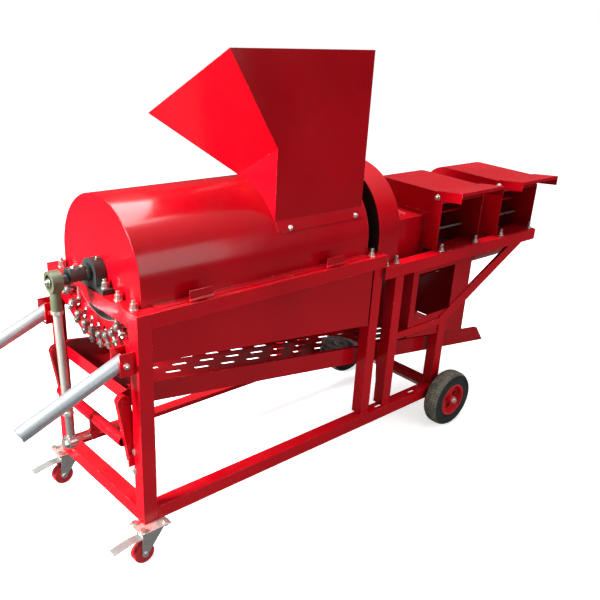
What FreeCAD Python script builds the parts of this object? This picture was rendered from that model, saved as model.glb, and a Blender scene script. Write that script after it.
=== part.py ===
import FreeCAD, Part
import math
import os
from FreeCAD import Vector

# A chestnut sheller on a wheeled angle-steel frame. A beater drum under a hinged hood rubs
# the husks off over an adjustable concave, a shaking sieve carries the nuts away, and two
# fans blow the husks out to the near side. X runs from the crank end to the fan end, the
# near side is -Y, and Z is up from the floor. The shapes are drawn with X from the front
# posts, and each is saved with the origin below the middle of the whole machine.

# Clearances and small common sizes
origin_x = 902.31
running_gap = 0.05
side_gap = 0.3
angle_gap = 0.3
parallel_limit = 0.001
nut_sides = 6
full_turn = 360.0
bridge_stud_places = (140.0, 230.0)
cut_over = 5.0
sheet_wall = 3.0

# Frame of welded angle bars
frame_width = 580.0
rail_base = 140.0
angle_leg = 50.0
angle_wall = 5.0
bottom_rail_length = 1565.0
drum_rail_height = 890.0
fan_rail_drop = 54.0
fan_rail_end = 2172.0
post_set_back = 15.0
middle_post_x = 1045.0
fan_post_x = 1180.0
rear_post_over = 10.0
mid_rail_top = 520.0
mid_rail_leg = 30.0
brace_angle = 28.4
brace_start_drop = 52.0
relief_centre_y = 95.0
relief_drop = 145.0
relief_radius = 128.0

# Motor slots in the bottom rails
motor_slot_x = 1165.0
motor_slot_spacing = 221.0
motor_slot_inset = 25.0
motor_slot_radius = 6.0
motor_slot_length = 40.0

# Rear axle and wheels
axle_overhang = 6.0
wheel_radius = 130.0
axle_radius = 10.0
axle_wheel_reach = 88.0
axle_bracket_half = 22.0
axle_bracket_wall = 6.0
wheel_frame_gap = 10.0
tyre_width = 72.0
tyre_inner_radius = 76.0
tyre_crown_drop = 12.0
rim_flange_depth = 8.0
rim_web_wall = 5.0
rim_hub_radius = 19.0
rim_window_inner = 32.0
rim_window_outer = 62.0
rim_window_spread = 22.0
rim_window_corner = 6.0
rim_window_count = 5
axle_nut_radius = 15.0
axle_nut_length = 10.0

# Swivel casters under the front corners
caster_plate_length = 113.0
caster_plate_width = 80.0
caster_plate_wall = 4.0
caster_plate_front = 35.0
caster_race_radius = 26.0
caster_race_height = 12.0
caster_pin_radius = 6.0
caster_pin_head_radius = 10.0
caster_pin_head_height = 5.0
caster_trail = 33.0
caster_wheel_radius = 37.5
caster_wheel_width = 32.0
caster_hub_radius = 16.0
caster_fork_wall = 3.0
caster_fork_gap = 1.5
caster_fork_half_length = 40.0
caster_fork_eye_radius = 13.0
caster_fork_crown = 6.0
caster_axle_radius = 5.0
pedal_length = 114.0
pedal_bend_length = 48.0
pedal_tip_drop = 14.0
pedal_width = 34.0
pedal_wall = 3.0
pedal_pivot_forward = 31.0
pedal_pivot_drop = 40.0
pedal_pivot_radius = 4.0
pedal_eye_radius = 8.0

# Drum, its shaft and bearings
shaft_rise = 54.0
shaft_radius = 20.0
shaft_start = -60.0
shaft_end = 1180.0
bearing_x_front = 24.0
bearing_x_rear = 1068.0
bearing_width = 38.0
bearing_body_radius = 44.0
bearing_foot_half = 84.0
bearing_foot_height = 16.0
bearing_ring_radius = 28.0
bearing_ring_overhang = 4.0
bearing_bolt_reach = 63.5
drum_start = 60.0
drum_end = 1000.0
drum_tube_radius = 88.0
drum_tube_wall = 6.0
drum_bar_tip_radius = 115.0
drum_bar_width = 14.0
drum_bar_count = 8
drum_disc_wall = 8.0
pulley_start = 1102.0
pulley_width = 60.0
pulley_radius = 235.0
pulley_groove_count = 3
pulley_groove_depth = 13.0
pulley_groove_share = 0.36
pulley_rim_wall = 14.0
pulley_web_wall = 14.0
pulley_hub_radius = 42.0
pulley_window_radius = 48.0
pulley_window_pitch_radius = 128.0
pulley_window_count = 5

# Crank, connecting rod and rocker
crank_throw = 10.0
crank_hub_radius = 25.0
crank_hub_start = -67.0
crank_hub_end = -1.0
crank_pin_radius = 14.0
crank_cap_radius = 18.0
crank_cap_length = 5.0
crank_screw_radius = 9.0
crank_screw_height = 6.0
rod_plane_x = -110.0
eye_width = 34.0
eye_radius = 34.0
eye_recess_radius = 23.0
eye_recess_depth = 12.0
eye_shank_radius = 17.0
eye_shank_length = 94.0
rod_tube_radius = 13.5
lever_drop = 58.0
rod_side_lean = 28.0
lower_eye_radius = 24.0
lower_eye_width = 26.0
lower_shank_radius = 12.0
lower_shank_length = 99.0
lock_nut_radius = 19.0
lock_nut_height = 12.0
stud_radius = 9.0
stud_end_x = -41.5
stud_nut_radius = 17.0
stud_nut_length = 14.0
rocker_pivot_x = 2.0
rocker_pivot_z = 371.0
rocker_lean_x = -25.0
rocker_rise = 219.0
rocker_outer = 235.0
rocker_depth = 20.0
rocker_wall = 3.0
rocker_lower_half = 15.0
rocker_upper_half = 22.5
rocker_pin_radius = 8.0
rocker_tube_x = -20.0
rocker_tube_z = 438.0
rocker_tube_radius = 19.5
rocker_tube_wall = 4.0
lever_wall = 12.0
lever_face_x = -39.5
lever_block_half = 15.0
lever_web_reach = 14.0
pivot_plate_half = 50.0
pivot_plate_wall = 6.0
pivot_lug_half = 20.0
pivot_bolt_rise = 38.0
link_thickness = 8.0
link_gap = 2.0
link_collar_radius = 12.0
link_half_width = 17.0
rear_rocker_x = 1217.0
rear_rocker_z = 224.0
rear_bracket_half = 26.0
rear_bracket_wall = 6.0

# Shaking sieve trough
pan_half_width = 212.0
pan_start_x = 10.0
pan_end_top_x = 1924.0
pan_end_bottom_x = 1990.0
pan_slope = 0.146
pan_top_at_start = 630.0
pan_wall_height = 72.0
pan_wall = 3.0
pan_end_bar_height = 48.0
pan_lip_width = 14.0
lug_half_height = 21.0
slot_start_x = 230.0
slot_length = 62.0
slot_radius = 7.0
slot_pitch_x = 122.0
slot_pitch_y = 52.0
slot_rows = 8
slot_columns = 13

# Motor pulley that lies on the sieve
motor_pulley_x = 1035.0
motor_pulley_y = -128.0
motor_pulley_radius = 80.0
motor_pulley_width = 58.0
motor_pulley_bore_radius = 19.0
motor_pulley_rim_wall = 12.0
motor_pulley_web_wall = 14.0
motor_pulley_hub_radius = 34.0

# Lower casing of the mill
casing_front_x = 20.0
casing_back_x = 1024.0
casing_front_drop = 159.0
casing_back_drop = 281.0
end_plate_drop = 190.0
end_plate_flat_half = 103.0
end_plate_knee_half = 215.0
end_plate_knee_rise = 62.0
concave_rod_tail = 12.0

# Adjustable concave
concave_centre_y = -25.0
concave_radius = 195.0
concave_rod_radius = 8.0
concave_rod_count = 9
concave_rod_step = 13.5
concave_first_angle = -50.0
concave_rod_start = -12.0
adjuster_slot_inner = 172.0
adjuster_slot_outer = 222.0
adjuster_eye_radius = 13.0
adjuster_eye_width = 16.0
adjuster_eye_inset = 4.0
adjuster_bolt_radius = 7.0
adjuster_bolt_end = 238.0
adjuster_nut_radius = 12.5
adjuster_nut_height = 8.0
adjuster_nut_at = 219.0
husker_sheet_y = -44.0
husker_sheet_rise = 58.0
husker_sheet_radius = 200.0
husker_sheet_wall = 3.0
husker_sheet_start = 17.0
husker_sheet_half_angle = 44.0
drum_gap_ends = (-118.0, 88.0)
drum_gap_arc = ((-122.0, 66.0), (-25.0, 63.0), (96.0, 6.0))
husker_hole_radius = 11.0
husker_hole_rows = 3
husker_hole_columns = 8

# Hood over the drum, with its hinges
hood_start = 44.5
hood_end = 1030.0
hood_radius = 240.0
hood_base_gap = 0.5
hood_flange_width = 31.0
hood_flange_start = 81.0
hood_flange_end = 1017.0
hood_notch_half = 33.5
hinge_axis_y = -279.0
hinge_axis_rise = 7.0
hinge_pin_radius = 3.0
hinge_knuckle_radius = 6.0
hinge_start_first = 191.0
hinge_start_second = 780.0
hinge_length = 86.0
hinge_leaf_height = 32.0
hinge_leaf_wall = 3.0

# Feed hopper
duct_near_y = -205.0
duct_far_y = 8.0
duct_left_x = 587.0
duct_right_x = 1012.0
duct_far_rise = 248.0
fold_near_rise = 373.0
mouth_near_rise = 679.0
mouth_left_x = 386.0
mouth_far_y = 239.0
mouth_far_rise = 430.0
hopper_wall = 2.5
flare_tail = 40.0
duct_flange_drop = 34.0

# Guard over the big pulley
guard_start = 1075.0
guard_end = 1190.0
guard_radius = 258.0
guard_foot_width = 26.0

# Louvred cover over the fan drive
louvre_start = 1192.0
louvre_end = 1440.0
louvre_half_width = 172.0
louvre_top_rise = 160.0
louvre_flange = 18.0
louvre_count = 6
louvre_pitch = 30.0
louvre_width = 240.0
louvre_gap = 9.0
louvre_lift = 6.0
cover_opening_half = 160.0

# Fans
fan_shaft_drop = 23.0
fan_shaft_radius = 15.0
fan_shaft_start = 1212.0
fan_shaft_end = 2160.0
fan_front_start = 1440.0
fan_front_end = 1730.0
fan_rear_start = 1880.0
fan_rear_end = 2165.0
scroll_radius = 187.0
mouth_y = -260.0
mouth_top_rise = 231.0
housing_top_rise = 272.0
housing_top_near_y = -227.0
housing_corner_radius = 112.0
fan_floor_reach = 283.0
inlet_radius = 88.0
spider_half_width = 16.0
fan_bearing_radius = 32.0
fan_bearing_width = 15.0
impeller_radius = 150.0
impeller_hub_radius = 26.0
impeller_side_margin = 34.0
impeller_blade_count = 4
impeller_blade_wall = 3.0
impeller_disc_radius = 105.0
mouth_bar_radius = 5.0
mouth_bar_low_y = -165.0
mouth_bar_low_rise = 82.0
mouth_bar_high_y = -140.0
mouth_bar_high_rise = 144.0
inlet_box_half = 165.0
inlet_box_top_rise = 187.0
inlet_box_base_drop = 113.0
fan_pulley_start = 1232.0
fan_pulley_width = 40.0
fan_pulley_radius = 60.0
fan_pulley_groove_count = 2

# Deflector flaps over the fan mouths
flap_pivot_y = -234.0
flap_pivot_rise = 249.0
flap_pin_radius = 5.0
flap_back_y = -229.0
flap_tip_y = -356.0
flap_back_rise = 274.0
flap_front_lip = 12.0
flap_tip_rise = 289.0
flap_lip_depth = 40.0
flap_wall = 2.0
flap_eye_radius = 16.0

# Suction duct from the sieve to the fans
duct_start = 1300.0
duct_end = 1704.0
duct_top_drop = 40.0
duct_sieve_gap = 34.0
window_start = 1335.0
window_end = 1581.0
window_top_drop = 37.0
window_height = 205.0

# Push handles
handle_pivot_x = -34.0
handle_pivot_y = 245.0
handle_pivot_z = 737.0
handle_angle = 23.0
handle_length = 352.0
handle_tail = 12.0
handle_radius = 24.0
handle_wall = 2.5
handle_pin_radius = 6.0
bracket_reach = 52.0
bracket_half_height = 38.0
bracket_wall = 4.0
bracket_bolt_head = 7.0

# Fasteners
bolt_radius = 6.0
nut_radius = 10.5
nut_height = 9.0
washer_radius = 13.5
washer_height = 2.5
stud_rise = 30.0
head_height = 7.0

# Places worked out from the sizes above
fan_rail_height = drum_rail_height - fan_rail_drop
rear_post_x = bottom_rail_length - angle_leg
relief_centre_z = drum_rail_height - relief_drop
axle_x = bottom_rail_length + axle_overhang
shaft_height = drum_rail_height + shaft_rise
rod_lower_height = rocker_tube_z - lever_drop
end_plate_base = drum_rail_height - end_plate_drop
husker_sheet_z = shaft_height + husker_sheet_rise
duct_far_z = shaft_height + duct_far_rise
fold_near_z = shaft_height + fold_near_rise
mouth_near_z = shaft_height + mouth_near_rise
mouth_far_z = shaft_height + mouth_far_rise
fan_shaft_height = fan_rail_height - fan_shaft_drop
louvre_top = fan_shaft_height + louvre_top_rise
mouth_top_z = fan_shaft_height + mouth_top_rise
housing_top_z = fan_shaft_height + housing_top_rise
mouth_bar_low_z = fan_shaft_height + mouth_bar_low_rise
mouth_bar_high_z = fan_shaft_height + mouth_bar_high_rise
inlet_box_top = fan_shaft_height + inlet_box_top_rise
inlet_box_base = fan_shaft_height - inlet_box_base_drop
flap_pivot_z = fan_shaft_height + flap_pivot_rise
flap_back_z = fan_shaft_height + flap_back_rise
flap_tip_z = fan_shaft_height + flap_tip_rise
duct_top = fan_rail_height - duct_top_drop
window_top = duct_top - window_top_drop
window_base = window_top - window_height
rear_post_top = mid_rail_top + rear_post_over
brace_start_height = mid_rail_top - brace_start_drop
half_width = frame_width / 2
wheel_inner_face = half_width + wheel_frame_gap
axle_half_length = wheel_inner_face + axle_wheel_reach
rail_inner = half_width - angle_leg
rail_top = rail_base + angle_leg
post_face = half_width - post_set_back
fan_rail_start = middle_post_x + angle_leg
link_inner = pan_half_width + link_gap
caster_plate_x = caster_plate_length / 2 - caster_plate_front
rocker_upper_x = rocker_pivot_x + rocker_lean_x
rocker_upper_z = rocker_pivot_z + rocker_rise
rear_upper_x = rear_rocker_x + rocker_lean_x
rear_upper_z = rear_rocker_z + rocker_rise
pin_height = shaft_height - crank_throw
hinge_axis_z = drum_rail_height + hinge_axis_rise
duct_half_width = post_face - angle_wall - side_gap
hood_base = drum_rail_height + hood_base_gap
adjuster_x = concave_rod_start + adjuster_eye_inset
adjuster_slot_half = concave_rod_radius + side_gap
deck_drop = pan_wall_height - pan_wall
axis_x = Vector(1, 0, 0)
axis_y = Vector(0, 1, 0)
axis_z = Vector(0, 0, 1)

os.makedirs("parts", exist_ok=True)


def block(x0, x1, y0, y1, z0, z1):
    """A rectangular solid between six planes, given in either order."""
    low = Vector(min(x0, x1), min(y0, y1), min(z0, z1))
    return Part.makeBox(abs(x1 - x0), abs(y1 - y0), abs(z1 - z0), low)


def rod(start, end, radius):
    """A round bar from one point to another."""
    run = end.sub(start)
    return Part.makeCylinder(radius, run.Length, start, run)


def pipe(start, end, radius, wall):
    """A round tube with open ends."""
    return rod(start, end, radius).cut(rod(start, end, radius - wall))


def plate(points, run):
    """A flat outline pushed along run."""
    return Part.Face(Part.makePolygon(points + [points[0]])).extrude(run)


def in_yz(x, pairs):
    """Points of an outline that lies across the machine."""
    return [Vector(x, y, z) for y, z in pairs]


def in_xz(y, pairs):
    """Points of an outline that lies along the machine."""
    return [Vector(x, y, z) for x, z in pairs]


def angle_bar(corner, run, side_u, side_v, leg=angle_leg, wall=angle_wall):
    """An angle bar whose outer corner runs from corner along run."""
    u_leg, u_wall = side_u * leg, side_u * wall
    v_leg, v_wall = side_v * leg, side_v * wall
    points = [corner, corner + u_leg, corner + u_leg + v_wall]
    points += [corner + u_wall + v_wall, corner + u_wall + v_leg, corner + v_leg]
    return plate(points, run)


def hexagon(start, end, radius):
    """A hexagonal nut or bolt head from one point to another."""
    run = end.sub(start)
    side = axis_z if abs(run.z) < run.Length / 2 else axis_x
    across = run.cross(side).normalize() * radius
    points = []
    for index in range(nut_sides):
        turn = FreeCAD.Rotation(run, full_turn * index / nut_sides)
        points.append(start + turn.multVec(across))
    return plate(points, run)


def slot_cutter(x, y, z_low, z_high, length, radius):
    """A vertical cutter with round ends, long along X."""
    half = length / 2 - radius
    low_left, low_right = Vector(x - half, y, z_low), Vector(x + half, y, z_low)
    rise = axis_z * (z_high - z_low)
    body = block(x - half, x + half, y - radius, y + radius, z_low, z_high)
    ends = [rod(point, point + rise, radius) for point in (low_left, low_right)]
    return body.fuse(ends).removeSplitter()


def polar(centre, radius, degrees):
    """A point on a circle across the machine; 0 degrees is straight down, + is the far side."""
    turn = math.radians(degrees)
    return centre + Vector(0, radius * math.sin(turn), -radius * math.cos(turn))


def far(shape):
    """The far side's copy of a near-side shape."""
    return shape.mirror(Vector(0, 0, 0), axis_y)


def save(name, shape):
    """Write one node, with the origin moved below the middle of the machine."""
    if not shape.isValid():
        print("not valid:", name)
    shape.translated(Vector(-origin_x, 0, 0)).exportStep("parts/" + name + ".step")


def save_pair(name, shape):
    """Write a near-side node and its far-side twin."""
    save(name + "_near", shape)
    save(name + "_far", far(shape))


def group(shapes):
    """Like fasteners in one node, each its own solid."""
    return Part.makeCompound(shapes)


def brace_bar(leg, wall, offset):
    """The slanted bar from the rear post to the fan rail's end, offset for a cutter."""
    slope = math.radians(brace_angle)
    along = Vector(math.cos(slope), 0, math.sin(slope))
    square = Vector(-math.sin(slope), 0, math.cos(slope))
    start = Vector(rear_post_x, offset - post_face, brace_start_height) + square * offset
    bar = angle_bar(start, along * (fan_rail_end - rear_post_x), axis_y, square, leg, wall)
    room = block(rear_post_x, fan_rail_end, -half_width, 0, rail_top, fan_rail_height - angle_wall)
    return bar.common(room)


def axle_bracket():
    """The plate under a rail's end that carries the rear axle."""
    outer = angle_wall - half_width
    inner = outer + axle_bracket_wall
    pairs = [(axle_x - 2 * axle_bracket_half, rail_top - angle_wall)]
    pairs += [(bottom_rail_length, rail_top - angle_wall), (axle_x + axle_bracket_half, wheel_radius)]
    pairs += [(axle_x - axle_bracket_half, wheel_radius)]
    body = plate(in_xz(outer, pairs), axis_y * axle_bracket_wall)
    centre = Vector(axle_x, outer, wheel_radius)
    inside = Vector(axle_x, inner, wheel_radius)
    body = body.fuse(rod(centre, inside, axle_bracket_half))
    return body.cut(rod(centre, inside, axle_radius + running_gap))


def rear_pivot_bracket():
    """The plate on the bottom rail with the pin of the rear rocker."""
    outer = -rail_inner
    inner = outer + rear_bracket_wall
    base = rail_top - angle_wall
    pairs = [(rear_rocker_x - rear_bracket_half, base), (rear_rocker_x + rear_bracket_half, base)]
    pairs += [(rear_rocker_x + link_half_width, rear_rocker_z)]
    pairs += [(rear_rocker_x - link_half_width, rear_rocker_z)]
    body = plate(in_xz(outer, pairs), axis_y * rear_bracket_wall)
    centre = Vector(rear_rocker_x, outer, rear_rocker_z)
    body = body.fuse(rod(centre, Vector(rear_rocker_x, inner, rear_rocker_z), link_half_width))
    collar_end = Vector(rear_rocker_x, -link_inner - link_thickness - side_gap, rear_rocker_z)
    pin_end = Vector(rear_rocker_x, -link_inner + side_gap, rear_rocker_z)
    return body.fuse([rod(centre, collar_end, link_collar_radius), rod(centre, pin_end, rocker_pin_radius)])


def handle_bracket():
    """The U bracket on the front post, with its pivot bolt and the lip that stops the handle."""
    inner_half = handle_radius + side_gap
    outer_half = inner_half + bracket_wall
    y = -handle_pivot_y
    low, high = handle_pivot_z - bracket_half_height, handle_pivot_z + bracket_half_height
    body = block(-bracket_wall, 0, y - outer_half, y + outer_half, low, high)
    for side in (-1, 1):
        cheek = block(-bracket_reach, 0, y + side * inner_half, y + side * outer_half, low, high)
        head_start = Vector(handle_pivot_x, y + side * outer_half, handle_pivot_z)
        head_end = head_start + axis_y * (side * bracket_bolt_head)
        body = body.fuse([cheek, hexagon(head_start, head_end, nut_radius)])
    pin_start = Vector(handle_pivot_x, y - outer_half, handle_pivot_z)
    body = body.fuse(rod(pin_start, pin_start + axis_y * (2 * outer_half), handle_pin_radius))
    slope = math.radians(handle_angle)
    reach = handle_pivot_x + bracket_reach
    under = handle_pivot_z - reach * math.tan(slope) - handle_radius / math.cos(slope)
    lip = block(-bracket_reach, bracket_wall - bracket_reach, y - inner_half, y + inner_half, low,
                under - side_gap)
    return body.fuse(lip)


def frame_knuckles():
    """The fixed halves of the hood's two hinges: end knuckles on feet, and the pin."""
    parts = []
    third = hinge_length / 3
    for start in (hinge_start_first, hinge_start_second):
        for x in (start, start + 2 * third + side_gap):
            end = x + third - side_gap
            knuckle = rod(Vector(x, hinge_axis_y, hinge_axis_z), Vector(end, hinge_axis_y, hinge_axis_z),
                          hinge_knuckle_radius)
            foot = block(x, end, hinge_axis_y - hinge_pin_radius, hinge_axis_y + hinge_pin_radius,
                         drum_rail_height, hinge_axis_z)
            parts += [knuckle, foot]
        pin_start = Vector(start, hinge_axis_y, hinge_axis_z)
        parts.append(rod(pin_start, pin_start + axis_x * hinge_length, hinge_pin_radius))
    return parts


def side_frame():
    """One welded side of the frame, near side: rails, posts, middle rail, brace and brackets."""
    outer = -half_width
    down = axis_z * -1
    post_y = -post_face
    bars = [angle_bar(Vector(0, outer, rail_top), axis_x * bottom_rail_length, axis_y, down)]
    bars.append(angle_bar(Vector(0, outer, drum_rail_height), axis_x * fan_rail_start, axis_y, down))
    fan_run = axis_x * (fan_rail_end - fan_rail_start)
    bars.append(angle_bar(Vector(fan_rail_start, outer, fan_rail_height), fan_run, axis_y, down))
    front_run = axis_z * (drum_rail_height - rail_base)
    bars.append(angle_bar(Vector(0, outer, rail_base), front_run, axis_x, axis_y))
    tops = {middle_post_x: drum_rail_height - angle_wall, fan_post_x: fan_rail_height - angle_wall,
            rear_post_x: rear_post_top}
    for x, top in tops.items():
        bars.append(angle_bar(Vector(x, post_y, rail_top), axis_z * (top - rail_top), axis_x, axis_y))
    mid_start = fan_post_x + angle_leg
    bars.append(block(mid_start, rear_post_x, post_y, post_y + angle_wall, mid_rail_top - mid_rail_leg,
                      mid_rail_top))
    bars += [brace_bar(angle_leg, angle_wall, 0), axle_bracket(), rear_pivot_bracket(), handle_bracket()]
    frame = bars[0].fuse(bars[1:])
    for x in (motor_slot_x, motor_slot_x + motor_slot_spacing):
        frame = frame.cut(slot_cutter(x, outer + motor_slot_inset, rail_top - angle_wall - cut_over,
                                      rail_top + cut_over, motor_slot_length, motor_slot_radius))
    return frame


def cross_bar(corner_x, top, along):
    """An angle bar across the machine between the rails; along is +1 or -1 for its top flange."""
    outer = block(corner_x, corner_x + along * angle_leg, -rail_inner, rail_inner, top - angle_wall, top)
    return outer.fuse(block(corner_x, corner_x + along * angle_wall, -rail_inner, rail_inner,
                            top - angle_leg, top))


def build_frame():
    """The two welded sides and what ties them together."""
    near = side_frame()
    save("side_frame_near", near.fuse(frame_knuckles()).removeSplitter())
    save("side_frame_far", far(near.removeSplitter()))
    bridge = cross_bar(0, drum_rail_height, 1)
    relief = rod(Vector(-cut_over, relief_centre_y, relief_centre_z),
                 Vector(angle_wall + cut_over, relief_centre_y, relief_centre_z), relief_radius)
    save("front_bearing_bridge", bridge.cut(relief).removeSplitter())
    save("rear_bearing_bridge", cross_bar(fan_rail_start, drum_rail_height, -1).removeSplitter())
    end_bar = block(fan_rail_end - angle_wall, fan_rail_end, -rail_inner, rail_inner,
                    fan_rail_height - angle_leg, fan_rail_height)
    low_bars = [cross_bar(0, rail_top, 1), cross_bar(bottom_rail_length, rail_top, -1)]
    save("cross_bars", group([*low_bars, end_bar]))


def revolved(pairs, centre, axis):
    """A ring from an outline of (offset along axis, radius) pairs, turned about the axis."""
    out = axis_z if abs(axis.z) < 1 else axis_x
    points = [centre + axis * offset + out * radius for offset, radius in pairs]
    face = Part.Face(Part.makePolygon(points + [points[0]]))
    return face.revolve(centre, axis, full_turn)


def tyre():
    """A solid rubber tyre with a rounded crown, turned about the axle."""
    centre = Vector(axle_x, -wheel_inner_face, wheel_radius)
    shoulder = wheel_radius - tyre_crown_drop
    middle = (shoulder + wheel_radius) / 2
    half_drop = tyre_crown_drop / 4

    def place(offset, radius):
        return centre + Vector(0, -offset, radius)

    inner = [place(tyre_width, shoulder), place(tyre_width, tyre_inner_radius), place(0, tyre_inner_radius),
             place(0, shoulder)]
    edges = [Part.LineSegment(inner[i], inner[i + 1]).toShape() for i in range(3)]
    edges.append(Part.Arc(inner[3], place(half_drop, middle + half_drop),
                          place(tyre_crown_drop, wheel_radius)).toShape())
    edges.append(Part.LineSegment(place(tyre_crown_drop, wheel_radius),
                                  place(tyre_width - tyre_crown_drop, wheel_radius)).toShape())
    edges.append(Part.Arc(place(tyre_width - tyre_crown_drop, wheel_radius),
                          place(tyre_width - half_drop, middle + half_drop), inner[0]).toShape())
    return Part.Face(Part.Wire(edges)).revolve(centre, axis_y, full_turn)


def rim_window(centre, depth, turn):
    """Cutter for one window between two spokes: a slice of a ring with rounded corners."""
    corners = []
    for radius in (rim_window_inner, rim_window_outer):
        turns = [math.radians(turn + lean) for lean in (-rim_window_spread, 0, rim_window_spread)]
        corners.append([centre + Vector(math.cos(angle), 0, math.sin(angle)) * radius for angle in turns])
    inner, outer = corners
    edges = [Part.Arc(*inner), Part.LineSegment(inner[2], outer[2]), Part.Arc(*reversed(outer)),
             Part.LineSegment(outer[0], inner[0])]
    window = Part.Face(Part.Wire([edge.toShape() for edge in edges])).extrude(depth)
    upright = []
    for edge in window.Edges:
        if edge.tangentAt(edge.FirstParameter).cross(depth).Length < parallel_limit:
            upright.append(edge)
    return window.makeFillet(rim_window_corner, upright)


def wheel_rim():
    """The pressed rim: a barrel with turned-out edges, a web with windows, and the hub tube."""
    outer = axis_y * -1
    centre = Vector(axle_x, -wheel_inner_face, wheel_radius)
    seat = tyre_inner_radius - running_gap
    barrel = pipe(centre, centre + outer * tyre_width, seat, rim_flange_depth)
    web_start = centre + outer * (tyre_width / 2)
    web = rod(web_start, web_start + outer * rim_web_wall, seat - rim_flange_depth / 2)
    hub_start = Vector(axle_x, -half_width - side_gap, wheel_radius)
    hub_end = Vector(axle_x, axle_nut_length - axle_half_length + axle_nut_length / 2, wheel_radius)
    hub = rod(hub_start, hub_end, rim_hub_radius)
    for turn in range(rim_window_count):
        web = web.cut(rim_window(web_start, outer * rim_web_wall, full_turn * turn / rim_window_count))
    body = barrel.fuse([web, hub])
    return body.cut(rod(hub_start, hub_end, axle_radius + running_gap)).removeSplitter()


def rear_axle():
    """The through axle with a nut on each end."""
    reach = axis_y * axle_half_length
    centre = Vector(axle_x, 0, wheel_radius)
    axle = rod(centre - reach, centre + reach, axle_radius)
    for side in (-1, 1):
        outer = centre + reach * side - axis_y * (side * axle_nut_length / 2)
        axle = axle.fuse(hexagon(outer - axis_y * (side * axle_nut_length), outer, axle_nut_radius))
    return axle


def build_rear_wheels():
    """Axle, rims and tyres."""
    save("rear_axle", rear_axle())
    save_pair("rear_tyre", tyre())
    save_pair("rear_rim", wheel_rim())


caster_y = -half_width
caster_race_base = rail_base - caster_plate_wall - caster_race_height
caster_crown_top = caster_race_base - side_gap
caster_crown_base = caster_crown_top - caster_fork_crown
caster_wheel_x = caster_plate_x - caster_trail
caster_leg_inner = caster_wheel_width / 2 + caster_fork_gap
caster_leg_outer = caster_leg_inner + caster_fork_wall
pedal_pivot_x = caster_plate_x - pedal_pivot_forward
pedal_pivot_z = rail_base - pedal_pivot_drop


def caster_plate():
    """The bolt-on plate with the swivel race and its king pin."""
    half_y = caster_plate_width / 2
    top = rail_base - caster_plate_wall
    body = block(-caster_plate_front, caster_plate_length - caster_plate_front, caster_y - half_y,
                 caster_y + half_y, top, rail_base)
    axis = Vector(caster_plate_x, caster_y, caster_race_base)
    race = rod(axis, Vector(caster_plate_x, caster_y, top), caster_race_radius)
    pin_base = Vector(caster_plate_x, caster_y, caster_crown_base - side_gap - caster_pin_head_height)
    pin = rod(pin_base, axis, caster_pin_radius)
    head = rod(pin_base, pin_base + axis_z * caster_pin_head_height, caster_pin_head_radius)
    return body.fuse([race, pin, head]).removeSplitter()


def caster_fork():
    """The folded fork: a crown round the king pin, two legs and the wheel's axle bolt."""
    front = caster_plate_x - caster_fork_half_length
    back = caster_plate_x + caster_fork_half_length
    eye = caster_fork_eye_radius
    body = block(front, back, caster_y - caster_leg_outer, caster_y + caster_leg_outer,
                 caster_crown_base, caster_crown_top)
    pairs = [(front, caster_crown_top), (back, caster_crown_top), (back, caster_crown_base)]
    pairs += [(caster_wheel_x + eye, caster_wheel_radius), (caster_wheel_x - eye, caster_wheel_radius)]
    for side in (-1, 1):
        y = caster_y + side * caster_leg_inner
        run = axis_y * (side * caster_fork_wall)
        centre = Vector(caster_wheel_x, y, caster_wheel_radius)
        body = body.fuse([plate(in_xz(y, pairs), run), rod(centre, centre + run, eye)])
        nut = centre + run
        head = nut + axis_y * (side * caster_pin_head_height)
        body = body.fuse(hexagon(nut, head, caster_pin_head_radius))
    start = Vector(caster_wheel_x, caster_y - caster_leg_outer, caster_wheel_radius)
    pins = [rod(start, start + axis_y * (2 * caster_leg_outer), caster_axle_radius)]
    start = Vector(pedal_pivot_x, caster_y - caster_leg_outer, pedal_pivot_z)
    pins.append(rod(start, start + axis_y * (2 * caster_leg_outer), pedal_pivot_radius))
    hole = rod(Vector(caster_plate_x, caster_y, caster_crown_base),
               Vector(caster_plate_x, caster_y, caster_crown_top), caster_pin_radius + running_gap)
    return body.fuse(pins).cut(hole).removeSplitter()


def caster_wheel():
    """The moulded wheel with a raised hub."""
    half = caster_wheel_width / 2
    hub_half = caster_leg_inner - side_gap
    tread_edge = caster_wheel_radius - caster_axle_radius / 2
    pairs = [(-hub_half, caster_hub_radius), (-half, caster_hub_radius), (-half, tread_edge)]
    inset = caster_axle_radius / 2
    pairs += [(inset - half, caster_wheel_radius), (half - inset, caster_wheel_radius)]
    pairs += [(half, tread_edge), (half, caster_hub_radius), (hub_half, caster_hub_radius)]
    pairs += [(hub_half, caster_axle_radius + running_gap), (-hub_half, caster_axle_radius + running_gap)]
    return revolved(pairs, Vector(caster_wheel_x, caster_y, caster_wheel_radius), axis_y)


def caster_pedal():
    """The brake pedal: an eye on the fork's cross pin and a tread plate turned down at the toe."""
    half = pedal_width / 2
    bend_x = pedal_pivot_x - pedal_bend_length
    tip_x = pedal_pivot_x - pedal_length
    top = pedal_pivot_z + pedal_wall
    pairs = [(pedal_pivot_x, top), (pedal_pivot_x, pedal_pivot_z), (bend_x, pedal_pivot_z)]
    pairs += [(tip_x, pedal_pivot_z - pedal_tip_drop), (tip_x, top - pedal_tip_drop), (bend_x, top)]
    start = Vector(pedal_pivot_x, caster_y - half, pedal_pivot_z)
    run = axis_y * pedal_width
    body = plate(in_xz(caster_y - half, pairs), run).fuse(rod(start, start + run, pedal_eye_radius))
    return body.cut(rod(start, start + run, pedal_pivot_radius + running_gap)).removeSplitter()


def build_casters():
    """Plates, forks, wheels and brake pedals of the two front casters."""
    save_pair("caster_plate", caster_plate())
    save_pair("caster_fork", caster_fork())
    save_pair("caster_wheel", caster_wheel())
    save_pair("caster_pedal", caster_pedal())


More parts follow.
